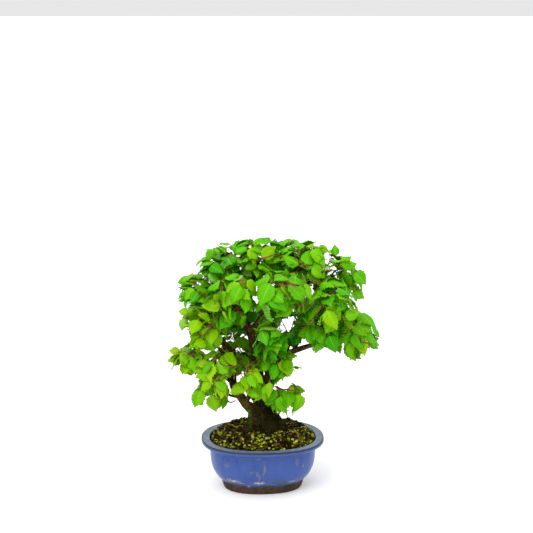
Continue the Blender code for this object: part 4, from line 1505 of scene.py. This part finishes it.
def build_wood(routes, growth, bark):
    """Trunk, stems and boughs as one skin with the bark's fissures."""
    shape = Shape()
    foot = trunk_ring(0.0, SHOWN_TRUNK_SIDES, TRUNK_FOOT_SWELL)
    rings = [[point - UP * TRUNK_SUNK for point in foot]]
    for share in levels(0.0, 1.0, SHOWN_TRUNK_RINGS):
        rings.append(trunk_ring(share, SHOWN_TRUNK_SIDES, 0.0))
    shape.add(*loft(rings))
    lines = wood_lines(routes, growth)
    for fine, radii in lines:
        shape.add(*tube(fine, radii, WOOD_SIDES))
    mesh = voxel_skin(shape, fork_gap())
    raise_bark(mesh, wood_samples(lines))
    mesh.materials.clear()
    mesh.materials.append(bark)
    mesh.polygons.foreach_set("use_smooth", [True] * len(mesh.polygons))
    mesh.update()
    obj = show("wood", mesh)
    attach(obj, "root")
    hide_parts("trunk", *[limb.name for limb in LIMBS])


def pot_profile():
    """The pot's outline from its underside round the lip to the inside: inset and height."""
    neck = POT_HEIGHT - LIP_THICKNESS
    foot = FOOT_INSET + FOOT_DRAFT
    profile = [(foot + FOOT_BEVEL[0], 0.0), (foot, FOOT_BEVEL[1])]
    for height in levels(FOOT_SPAN[0], FOOT_HEIGHT + FOOT_SPAN[1], FOOT_RINGS):
        profile.append((FOOT_INSET + FOOT_DRAFT * (1 - height / FOOT_HEIGHT), height))
    profile.append((FOOT_INSET + FOOT_TOP[0], FOOT_HEIGHT + FOOT_TOP[1]))
    profile.append((BODY_FOOT_INSET + BODY_START[0], FOOT_HEIGHT + BODY_START[1]))
    for height in levels(FOOT_HEIGHT + BODY_SPAN[0], neck + BODY_SPAN[1], POT_BODY_RINGS):
        band = NECK_BAND_RISE * smooth_step(NECK_BAND, NECK_BAND + NECK_BAND_SOFTNESS, height)
        profile.append((body_inset(height) - band, height))
    for step_in, step_up in NECK_CURVE:
        profile.append((NECK_INSET + step_in, neck + step_up))
    profile.append((LIP_ROUND + LIP_FLAT, neck))
    for angle in levels(0.0, math.pi / 2, LIP_UNDER_RINGS):
        inset = LIP_ROUND * (1 - math.sin(angle))
        profile.append((inset, neck + LIP_ROUND * (1 - math.cos(angle))))
    for angle in levels(0.0, math.pi / 2, LIP_OVER_RINGS):
        inset = LIP_ROUND * (1 - math.cos(angle))
        profile.append((inset, POT_HEIGHT - LIP_ROUND * (1 - math.sin(angle))))
    for share in levels(*RIM_DIP_SPAN, RIM_DIP_RINGS):
        inset = LIP_ROUND + (RIM_WIDTH - LIP_ROUND) * share
        profile.append((inset, POT_HEIGHT - RIM_DIP * math.sin(share * math.pi)))
    for step_in, step_up in RIM_INSIDE:
        profile.append((RIM_WIDTH + step_in, POT_HEIGHT + step_up))
    return profile


def build_pot(glaze):
    """The pot as one smooth closed skin, slightly uneven as hand-made ones are."""
    rings = []
    from_line = []
    for inset, height in pot_profile():
        ring = []
        for point in oval(inset, height):
            dent = POT_UNEVENNESS * min(noise.noise(point * POT_UNEVENNESS_SCALE), 0.0)
            if height > FOOT_HEIGHT:
                point = point + Vector((point.x, point.y, 0)).normalized() * dent
            ring.append(point)
            from_line.append(math.hypot(inset - LINE_INSET, POT_HEIGHT - LINE_DROP - height))
        rings.append(ring)
    shape = Shape()
    shape.add(*loft(rings))
    obj = shape.build("pot_glazed", [glaze])
    obj.data.attributes.new("from_line", "FLOAT", "POINT").data.foreach_set("value", from_line)
    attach(obj, "root")
    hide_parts("pot")


def soil_share(across, deep):
    """0 at the middle of the soil and 1 at its edge."""
    half_length = POT_LENGTH / 2 - RIM_WIDTH - GAP
    half_width = POT_WIDTH / 2 - RIM_WIDTH - GAP
    total = (abs(across) / half_length) ** OVAL_POWER + (abs(deep) / half_width) ** OVAL_POWER
    return total ** (1 / OVAL_POWER)


def heap(share, deep):
    """How much higher the soil is heaped behind the trunk, a share of the way to its edge."""
    back = smooth_step(*BACK_HEAP_DEPTH, deep) * (1 - smooth_step(*BACK_HEAP_SHARES, share))
    return BACK_HEAP * back * smooth_step(SOIL_PATCH, SOIL_PATCH + BACK_HEAP_SOFTNESS, share)


def ground_height(across, deep):
    """The height of the mounded soil at a place."""
    share = min(soil_share(across, deep), 1.0)
    rise = min((1 - share) / (1 - SOIL_PATCH), 1.0)
    return SOIL_EDGE + (GROUND - SOIL_EDGE) * math.sin(rise * math.pi / 2) + heap(share, deep)


# Grains of soil: their colours, and how many of each lie in the bare and in the mossy clusters
Grain = namedtuple("Grain", "colour bare mossy")
GRAINS = (
    Grain((0.010, 0.006, 0.001), 26, 18),
    Grain((0.029, 0.018, 0.004), 34, 22),
    Grain((0.088, 0.054, 0.011), 26, 15),
    Grain((0.085, 0.125, 0.004), 6, 9),
    Grain((0.220, 0.285, 0.007), 6, 20),
    Grain((0.370, 0.430, 0.026), 3, 13),
    Grain((0.430, 0.395, 0.100), 3, 6),
    Grain((0.260, 0.170, 0.050), 3, 3),
)


def grain_ball():
    """The points and faces of a ball of 80 faces."""
    ball = bmesh.new()
    bmesh.ops.create_icosphere(ball, subdivisions=2, radius=1.0)
    points = np.array([tuple(vert.co) for vert in ball.verts])
    faces = [tuple(vert.index for vert in face.verts) for face in ball.faces]
    ball.free()
    return points, faces


def build_mound(soil):
    """The mound that the grains lie on."""
    rings = [oval(RIM_WIDTH + MOUND_BOTTOM_INSET, SOIL_BOTTOM, MOUND_SIDES)]
    for share in levels(1.0, MOUND_MIDDLE, MOUND_RINGS):
        ring = []
        for point in oval(RIM_WIDTH + GAP, 0.0, MOUND_SIDES):
            across = point.x * share
            deep = point.y * share
            uneven = noise.noise(Vector((across, deep, 0)) * MOUND_ROUGHNESS_SCALE)
            height = ground_height(across, deep) - MOUND_DROP + MOUND_UNEVENNESS * uneven
            ring.append(Vector((across, deep, height)))
        rings.append(ring)
    mound = Shape()
    mound.add(*loft(rings))
    obj = mound.build("soil_mound", [soil])
    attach(obj, "root")
    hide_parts("soil")


def grain_places(rng):
    """Where the grains lie, across and deep, and in which of two layers."""
    rows = int(POT_WIDTH / GRAIN_SPACING / GRAIN_ROWS_APART / 2)
    columns = int(POT_LENGTH / GRAIN_SPACING / 2)
    for layer, row, column in product((0, 1), range(-rows, rows + 1), range(-columns, columns + 1)):
        if layer and rng.random() > UPPER_LAYER_SHARE:
            continue
        across = (column + (row % 2) / 2) * GRAIN_SPACING + rng.uniform(-GRAIN_SHIFT, GRAIN_SHIFT)
        deep = row * GRAIN_SPACING * GRAIN_ROWS_APART + rng.uniform(-GRAIN_SHIFT, GRAIN_SHIFT)
        from_trunk = math.hypot(across - TRUNK_FOOT[0], (deep - TRUNK_FOOT[1]) / TRUNK_DEPTH)
        if soil_share(across, deep) <= GRAIN_EDGE and from_trunk >= GRAIN_TRUNK_REACH:
            yield across, deep, layer


def grain_kind(rng, across, deep):
    """Which kind of grain lies at a place, in a bare or a mossy cluster."""
    patch = noise.noise(Vector((across, deep, 0)) * GRAIN_CLUSTER)
    patch += rng.uniform(-GRAIN_MIXING, GRAIN_MIXING)
    weights = [grain.mossy if patch > GRAIN_CLUSTER_EDGE else grain.bare for grain in GRAINS]
    return rng.choices(range(len(GRAINS)), weights)[0]


def build_grains():
    """The grains strewn on the mound, each a lumpy, stretched and turned ball."""
    rng = random.Random("grains")
    ball, ball_faces = grain_ball()
    grains = Shape()
    for across, deep, layer in grain_places(rng):
        radius = GRAIN_RADIUS * rng.uniform(*GRAIN_SIZES)
        height = ground_height(across, deep) + rng.uniform(*GRAIN_RISE) + layer * UPPER_LAYER_RISE
        stretch = np.array([rng.uniform(*spread) for spread in GRAIN_STRETCH])
        turn = Matrix.Rotation(rng.uniform(0, math.tau), 3, "Z")
        turn = turn @ Matrix.Rotation(rng.uniform(-GRAIN_TILT, GRAIN_TILT), 3, "X")
        kind = grain_kind(rng, across, deep)
        if kind >= LIGHT_GRAINS:
            radius *= LIGHT_GRAIN_SHARE
        at_back = deep > LARGE_GRAIN_PLACE[0] and soil_share(across, deep) > LARGE_GRAIN_PLACE[1]
        if at_back and rng.random() < LARGE_GRAIN_CHANCE:
            radius *= LARGE_GRAIN_SHARE
        lumps = np.array([rng.uniform(*GRAIN_LUMPS) for corner in range(len(ball))])
        body = ball * lumps[:, None] * stretch * radius @ np.array(turn).T
        body = body + np.array((across, deep, height))
        grains.add([tuple(point) for point in body], ball_faces, kind)
    materials = []
    for number, grain in enumerate(GRAINS):
        materials.append(plain_material("grain_%d" % number, grain.colour, GRAIN_ROUGHNESS, GRAIN_GLOSS))
    obj = grains.build("soil_grains", materials)
    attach(obj, "root")


# The sockets of a colour mix: its share and two colours, and its result
MIX_INPUTS = (0, 6, 7)
MIX_RESULT = 2


class Graph:
    """A node tree, with short ways to add the nodes that the materials need."""

    def __init__(self, tree, coordinates):
        self.nodes = tree.nodes
        self.links = tree.links
        self.place = self.add("TexCoord", {}).outputs[coordinates]

    def feed(self, socket, value):
        """Give a socket another socket's value, or a plain number, vector or colour."""
        if isinstance(value, bpy.types.NodeSocket):
            self.links.new(value, socket)
        elif socket.type == "RGBA":
            socket.default_value = (*value, 1.0)
        else:
            socket.default_value = value

    def add(self, kind, inputs):
        """A node of a kind, with its inputs by name."""
        node = self.nodes.new("ShaderNode" + kind)
        for name, value in inputs.items():
            self.feed(node.inputs[name], value)
        return node

    def axis(self, name):
        """One coordinate of the place that is painted."""
        return self.add("SeparateXYZ", {"Vector": self.place}).outputs[name]

    def attribute(self, name):
        """A value kept with the mesh's points."""
        node = self.add("Attribute", {})
        node.attribute_name = name
        return node.outputs["Fac"]

    def ramp(self, source, stops):
        """A colour ramp fed by a socket."""
        node = self.add("ValToRGB", {"Fac": source})
        elements = node.color_ramp.elements
        for element, (place, colour) in zip(elements, stops):
            element.position = place
            element.color = (*colour, 1.0)
        return node.outputs["Color"]

    def mix(self, share, first, second):
        """A mix of two colours, each a socket or a plain colour."""
        node = self.nodes.new("ShaderNodeMix")
        node.data_type = "RGBA"
        for index, value in zip(MIX_INPUTS, (share, first, second)):
            self.feed(node.inputs[index], value)
        return node.outputs[MIX_RESULT]

    def noise(self, scale, detail=4.0, roughness=0.55, stretch=None):
        """A noise texture's value, optionally stretched."""
        place = self.place
        if stretch:
            place = self.add("Mapping", {"Vector": place, "Scale": stretch}).outputs["Vector"]
        inputs = {"Vector": place, "Scale": scale, "Detail": detail, "Roughness": roughness}
        return self.add("TexNoise", inputs).outputs["Fac"]

    def range(self, source, low, high, to_low=0.0, to_high=1.0):
        """A value moved from one range to another, kept within it."""
        inputs = {
            "Value": source, "From Min": low, "From Max": high, "To Min": to_low, "To Max": to_high,
        }
        return self.add("MapRange", inputs).outputs["Result"]

    def maths(self, operation, first, second):
        """One sum of two values, each a socket or a number."""
        node = self.nodes.new("ShaderNodeMath")
        node.operation = operation
        self.feed(node.inputs[0], first)
        self.feed(node.inputs[1], second)
        return node.outputs["Value"]

    def bump(self, height, strength, distance):
        """A bump from a height socket."""
        inputs = {"Height": height, "Strength": strength, "Distance": distance * MILLIMETRE}
        return self.add("Bump", inputs).outputs["Normal"]

    def mark(self, torn, colour, mark):
        """A patch of colour on a surface, whose edge is torn by a noise; most are stains, and two on the
        trunk are painted light and painted shade.
        """
        place = self.place
        for operation, values in (("SUBTRACT", mark.centre), ("DIVIDE", mark.reach)):
            node = self.nodes.new("ShaderNodeVectorMath")
            node.operation = operation
            self.feed(node.inputs[0], place)
            self.feed(node.inputs[1], [value * MILLIMETRE for value in values])
            place = node.outputs["Vector"]
        length = self.nodes.new("ShaderNodeVectorMath")
        length.operation = "LENGTH"
        self.feed(length.inputs[0], place)
        near = self.maths("ADD", length.outputs["Value"], self.maths("MULTIPLY", torn, MARK_RAGGEDNESS))
        inner = MARK_EDGE - MARK_SOFTNESS
        share = self.range(near, MARK_EDGE + MARK_SOFTNESS, inner, 0.0, mark.strength)
        return self.mix(share, colour, mark.colour)


# A mark on a surface: where its middle is, its reach, both in millimetres, colour and strength
Mark = namedtuple("Mark", "centre reach colour strength")
MARK_RAGGEDNESS = 7.0
MARK_EDGE = 4.15
MARK_SOFTNESS = 0.2
TRUNK_MOSS_AND_PAINTED_LIGHT_SHADE = (
    # painted light: a paler brown patch where the left stem is lit, partly its own browner bark
    Mark((-27.0, -4, 127), (15.0, 60, 26), (0.105, 0.064, 0.010), 0.65),
    # painted shade: a dark patch over the trunk's middle and right, where the trunk lies in shade
    Mark((2.0, -14, 112), (21.0, 60, 48), (0.010, 0.009, 0.003), 0.62),
    # moss on the trunk
    Mark((-20.5, -10, 112), (3.0, 22, 9), (0.045, 0.200, 0.012), 0.85),
    Mark((-18.5, -10, 96), (2.5, 22, 11), (0.024, 0.075, 0.008), 0.70),
)


# Noises are given as scale, detail, roughness and stretch, colours as stops of a ramp, a finish
# as gloss and roughness, a bump as strength and distance, and the rest as ranges of a value
TWIG_NOISE = (140.0, 3.0)
TWIG_COLOURS = ((0.4, (0.070, 0.029, 0.008)), (0.62, (0.270, 0.112, 0.030)))
TWIG_FINISH = (0.15, 0.6)
STALK_COLOURS = ((0.4, (0.330, 0.110, 0.035)), (0.62, (0.500, 0.250, 0.080)))
SOIL_NOISE = (400.0, 4.0)
SOIL_COLOURS = ((0.4, (0.006, 0.004, 0.002)), (0.65, (0.022, 0.015, 0.007)))
SOIL_FINISH = (0.05, 0.95)
BARK_FINISH = (0.03, 0.88)
BARK_BUMP = (0.6, 0.5)
BARK_PATCHES = (90.0, 5.0, 0.6)
BARK_GRAIN = (700.0, 4.0, 0.6, (1.0, 1.0, 0.35))
BARK_MOSSINESS = (160.0, 5.0, 0.65)
BARK_TEARS = (420.0, 6.0, 0.75, (1.0, 1.0, 0.4))
THICK_BARK = ((0.36, (0.011, 0.009, 0.002)), (0.62, (0.040, 0.031, 0.007)))
THIN_BARK = ((0.38, (0.050, 0.029, 0.006)), (0.62, (0.145, 0.088, 0.028)))
SLIM_GIRTHS = (12.0, 3.0)
CRACK_RELIEFS = (0.35, 0.85)
CRACK_COLOUR = (0.006, 0.005, 0.003)
MOSS_COLOUR = (0.030, 0.042, 0.006)
MOSS_STRENGTH = 0.75
MOSS_PATCHES = (0.54, 0.66)
MOSS_HEIGHTS = (0.128, 0.088)


def mottled_material(name, noise_values, colours, gloss, roughness):
    """A material whose colour goes between two by a noise."""
    material, shader = start_material(name, gloss, roughness)
    graph = Graph(material.node_tree, "Object")
    graph.feed(shader.inputs["Base Color"], graph.ramp(graph.noise(*noise_values), colours))
    return material


def twig_material():
    """Red-brown bark of the twigs."""
    return mottled_material("twig", TWIG_NOISE, TWIG_COLOURS, *TWIG_FINISH)


def stalk_material():
    """Paler red of the leaves' stalks."""
    return mottled_material("stalk", TWIG_NOISE, STALK_COLOURS, *TWIG_FINISH)


def soil_material():
    """Dark soil between the grains."""
    return mottled_material("soil", SOIL_NOISE, SOIL_COLOURS, *SOIL_FINISH)


def bark_material():
    """Dark fissured bark, greyer and redder on thin limbs, with moss low on the trunk, a paler brown
    patch of painted light on the left stem and a dark patch of painted shade over the trunk's middle.
    """
    material, shader = start_material("bark", *BARK_FINISH)
    graph = Graph(material.node_tree, "Object")
    patches = graph.noise(*BARK_PATCHES)
    slim = graph.range(graph.attribute("girth"), *SLIM_GIRTHS)
    plates = graph.mix(slim, graph.ramp(patches, THICK_BARK), graph.ramp(patches, THIN_BARK))
    cracks = graph.range(graph.attribute("relief"), *CRACK_RELIEFS)
    colour = graph.mix(cracks, CRACK_COLOUR, plates)
    low = graph.range(graph.axis("Z"), *MOSS_HEIGHTS)
    moss = graph.range(graph.noise(*BARK_MOSSINESS), *MOSS_PATCHES)
    moss = graph.maths("MULTIPLY", moss, low)
    colour = graph.mix(graph.maths("MULTIPLY", moss, MOSS_STRENGTH), colour, MOSS_COLOUR)
    torn = graph.noise(*BARK_TEARS)
    # moss, a patch of painted light on the left stem and a patch of painted shade over the trunk's
    # middle
    for mark in TRUNK_MOSS_AND_PAINTED_LIGHT_SHADE:
        colour = graph.mark(torn, colour, mark)
    graph.feed(shader.inputs["Base Color"], colour)
    graph.feed(shader.inputs["Normal"], graph.bump(graph.noise(*BARK_GRAIN), *BARK_BUMP))
    return material


SCUFF = (0.160, 0.165, 0.095)
CRUST = (0.560, 0.530, 0.270)
GLAZE_MOSS = (0.020, 0.052, 0.024)
MARKS = (
    Mark((-1.0, -60, 46), (1.9, 14, 9.5), SCUFF, 0.75),
    Mark((-1.6, -60, 39), (2.6, 14, 4.0), SCUFF, 0.75),
    Mark((-10.5, -59, 37), (1.9, 14, 5.5), SCUFF, 0.75),
    Mark((-8.2, -59, 32), (2.2, 14, 5.0), SCUFF, 0.75),
    Mark((46, -51, 51), (2.2, 14, 5.5), SCUFF, 0.55),
    Mark((54.6, -46, 44), (2.2, 14, 3.4), SCUFF, 0.55),
    Mark((-19, -59, 39.5), (5.5, 14, 3.2), SCUFF, 0.45),
    Mark((-52, -47.5, 47), (4.5, 14, 6.0), SCUFF, 0.40),
    Mark((-9, -60.5, 60.5), (4.5, 12, 1.6), SCUFF, 0.60),
    Mark((-46, -46, 22.5), (10.0, 14, 2.6), CRUST, 0.80),
    Mark((-34, -46, 19.5), (7.0, 14, 1.6), CRUST, 0.60),
    Mark((-8, -55, 21.5), (9.0, 14, 2.8), CRUST, 0.80),
    Mark((39, -48.6, 20.5), (9.5, 14, 1.3), CRUST, 0.70),
    Mark((-40, -46, 17.5), (22.0, 14, 2.8), GLAZE_MOSS, 0.85),
    Mark((23.5, -50, 18.7), (15.0, 14, 5.6), GLAZE_MOSS, 0.92),
    Mark((4, -49, 15.4), (11.0, 14, 5.4), GLAZE_MOSS, 0.90),
    Mark((-22.7, -45, 14.8), (2.2, 8, 2.2), (0.550, 0.330, 0.030), 0.95),
)
FOOT_MOSS = Mark((33, -38, 8), (22.0, 16, 8.5), (0.013, 0.020, 0.009), 0.85)
GLAZE_BROAD = (22.0, 4.0, 0.55)
GLAZE_STREAKS = (130.0, 5.0, 0.6, (1.0, 1.0, 0.22))
GLAZE_TEARS = (330.0, 6.0, 0.75)
GLAZE_WAVES = (70.0, 4.0, 0.6)
BLUE = ((0.36, (0.021, 0.057, 0.240)), (0.64, (0.033, 0.075, 0.282)))
PALER_BLUE = (0.042, 0.088, 0.300)
SLATE = ((0.36, (0.076, 0.120, 0.198)), (0.66, (0.142, 0.196, 0.284)))
CLAY = ((0.35, (0.024, 0.013, 0.007)), (0.65, (0.080, 0.038, 0.019)))
EDGE_LINE = (0.012, 0.011, 0.012)
GRIME = (0.014, 0.015, 0.009)
GLAZE_ROUGHNESS = (0.24, 0.36)
CLAY_ROUGHNESS = 0.85

GLAZE_GLOSS = 0.30
GLAZE_BUMP = (0.25, 1.5)
STREAK_RANGE = (0.40, 0.66)
STREAK_STRENGTHS = (0.0, 0.55)
MIDDLE_NOISE = (0.3, 0.7)
WORN_REACH = (-0.15, 0.25)
WORN_STRENGTHS = (0.0, 0.92)
GRIME_STRENGTHS = (0.0, 0.92)
GRIME_TEARS = (0.36, 0.54)

# Heights and depths on the pot, in metres: where slate starts and is full below the rim's top,
# how deep the foot's edge goes from side to front, its height there, and how far grime climbs
SLATE_BELOW = (0.0013, 0.0006)
FOOT_EDGE_DEPTHS = (0.045, 0.015)
FOOT_EDGE_FRONT = 0.0112
FOOT_EDGE_SIDE = 0.0150
FOOT_EDGE_WAVE = 0.0018
GRIME_CLIMB = (0.0032, 0.0012)


def glaze_colour(graph, streaks, torn, broad):
    """Blue glaze, greyer on the rim and worn dark at its edge, with its marks."""
    flow = graph.range(streaks, *STREAK_RANGE, *STREAK_STRENGTHS)
    blue = graph.mix(flow, graph.ramp(broad, BLUE), PALER_BLUE)
    rim_top = POT_HEIGHT * MILLIMETRE
    top = graph.range(graph.axis("Z"), rim_top - SLATE_BELOW[0], rim_top - SLATE_BELOW[1])
    colour = graph.mix(top, blue, graph.ramp(streaks, SLATE))
    ragged = graph.range(streaks, *MIDDLE_NOISE, *LINE_REACH)
    worn = graph.maths("SUBTRACT", ragged, graph.attribute("from_line"))
    colour = graph.mix(graph.range(worn, *WORN_REACH, *WORN_STRENGTHS), colour, EDGE_LINE)
    for mark in MARKS:
        colour = graph.mark(torn, colour, mark)
    return colour


def glaze_material():
    """The glaze over a bare brown foot, with grime along the glaze's lower edge."""
    material, shader = start_material("glaze", GLAZE_GLOSS)
    graph = Graph(material.node_tree, "Object")
    broad = graph.noise(*GLAZE_BROAD)
    streaks = graph.noise(*GLAZE_STREAKS)
    torn = graph.noise(*GLAZE_TEARS)
    colour = glaze_colour(graph, streaks, torn, broad)
    deep = graph.maths("ABSOLUTE", graph.axis("Y"), 0.0)
    edge = graph.range(deep, *FOOT_EDGE_DEPTHS, FOOT_EDGE_FRONT, FOOT_EDGE_SIDE)
    waves = graph.noise(*GLAZE_WAVES)
    waves = graph.range(waves, *MIDDLE_NOISE, -FOOT_EDGE_WAVE, FOOT_EDGE_WAVE)
    above = graph.maths("SUBTRACT", graph.axis("Z"), graph.maths("ADD", edge, waves))
    bare = graph.maths("LESS_THAN", above, 0.0)
    grime = graph.range(above, *GRIME_CLIMB, *GRIME_STRENGTHS)
    grime = graph.maths("MULTIPLY", grime, graph.range(torn, *GRIME_TEARS))
    colour = graph.mix(grime, colour, GRIME)
    colour = graph.mix(bare, colour, graph.ramp(streaks, CLAY))
    colour = graph.mark(torn, colour, FOOT_MOSS)
    rough = graph.range(broad, *MIDDLE_NOISE, *GLAZE_ROUGHNESS)
    rough = graph.maths("MAXIMUM", rough, graph.maths("MULTIPLY", bare, CLAY_ROUGHNESS))
    graph.feed(shader.inputs["Base Color"], colour)
    graph.feed(shader.inputs["Roughness"], rough)
    graph.feed(shader.inputs["Normal"], graph.bump(broad, *GLAZE_BUMP))
    return material


def build_camera():
    """The camera, where the photograph was taken from."""
    data = bpy.data.cameras.new("camera")
    camera = show("camera", data)
    camera.location = Vector(CAMERA_PLACE) * MILLIMETRE
    camera.rotation_euler = (math.pi / 2 - CAMERA_PITCH, 0.0, CAMERA_HEADING)
    data.sensor_width = SENSOR_WIDTH
    data.lens = FOCAL_PIXELS * SENSOR_WIDTH / PHOTO_SIDE
    data.shift_x = (PHOTO_SIDE / 2 - FRAME_CENTRE[0]) / PHOTO_SIDE
    data.shift_y = (FRAME_CENTRE[1] - PHOTO_SIDE / 2) / PHOTO_SIDE
    bpy.context.scene.camera = camera


def add_sun(name, direction, width, strength):
    """A broad soft lamp far away, shining along a direction."""
    data = bpy.data.lights.new(name, "SUN")
    data.angle = math.radians(width)
    data.energy = strength
    lamp = show(name, data)
    lamp.rotation_euler = Vector(direction).to_track_quat("-Z", "Y").to_euler()


def build_studio():
    """A plain pale floor under a white surround that is brighter overhead, and soft lamps."""
    world = bpy.data.worlds.new("studio")
    bpy.context.scene.world = world
    world.use_nodes = True
    graph = Graph(world.node_tree, "Generated")
    surround = graph.nodes["Background"]
    graph.feed(surround.inputs["Color"], (1.0, 1.0, 1.0))
    bright = graph.range(graph.axis("Z"), *SURROUND_HEIGHTS, SURROUND_LOW, SURROUND_HIGH)
    graph.feed(surround.inputs["Strength"], bright)
    for name, direction, width, strength in LAMPS:
        add_sun(name, direction, width, strength)
    floor = Shape()
    floor.add(floor_edge(), [tuple(range(FLOOR_SIDES))])
    obj = floor.build("floor", [plain_material("floor", FLOOR_WHITE, FLOOR_ROUGHNESS)])
    bpy.context.scene.view_settings.view_transform = "Standard"


def floor_edge():
    """The floor's round edge, far out of view."""
    points = []
    for step in range(FLOOR_SIDES):
        angle = math.tau * step / FLOOR_SIDES
        across = FLOOR_RADIUS * math.cos(angle)
        points.append(Vector((across, FLOOR_RADIUS * math.sin(angle), FLOOR_DROP)))
    return points


build_camera()
build_studio()
routes, growth = grow_all()
build_wood(routes, growth, bark_material())
build_twigs(growth, twig_material(), stalk_material())
build_leaves(growth)
build_pot(glaze_material())
build_mound(soil_material())
build_grains()
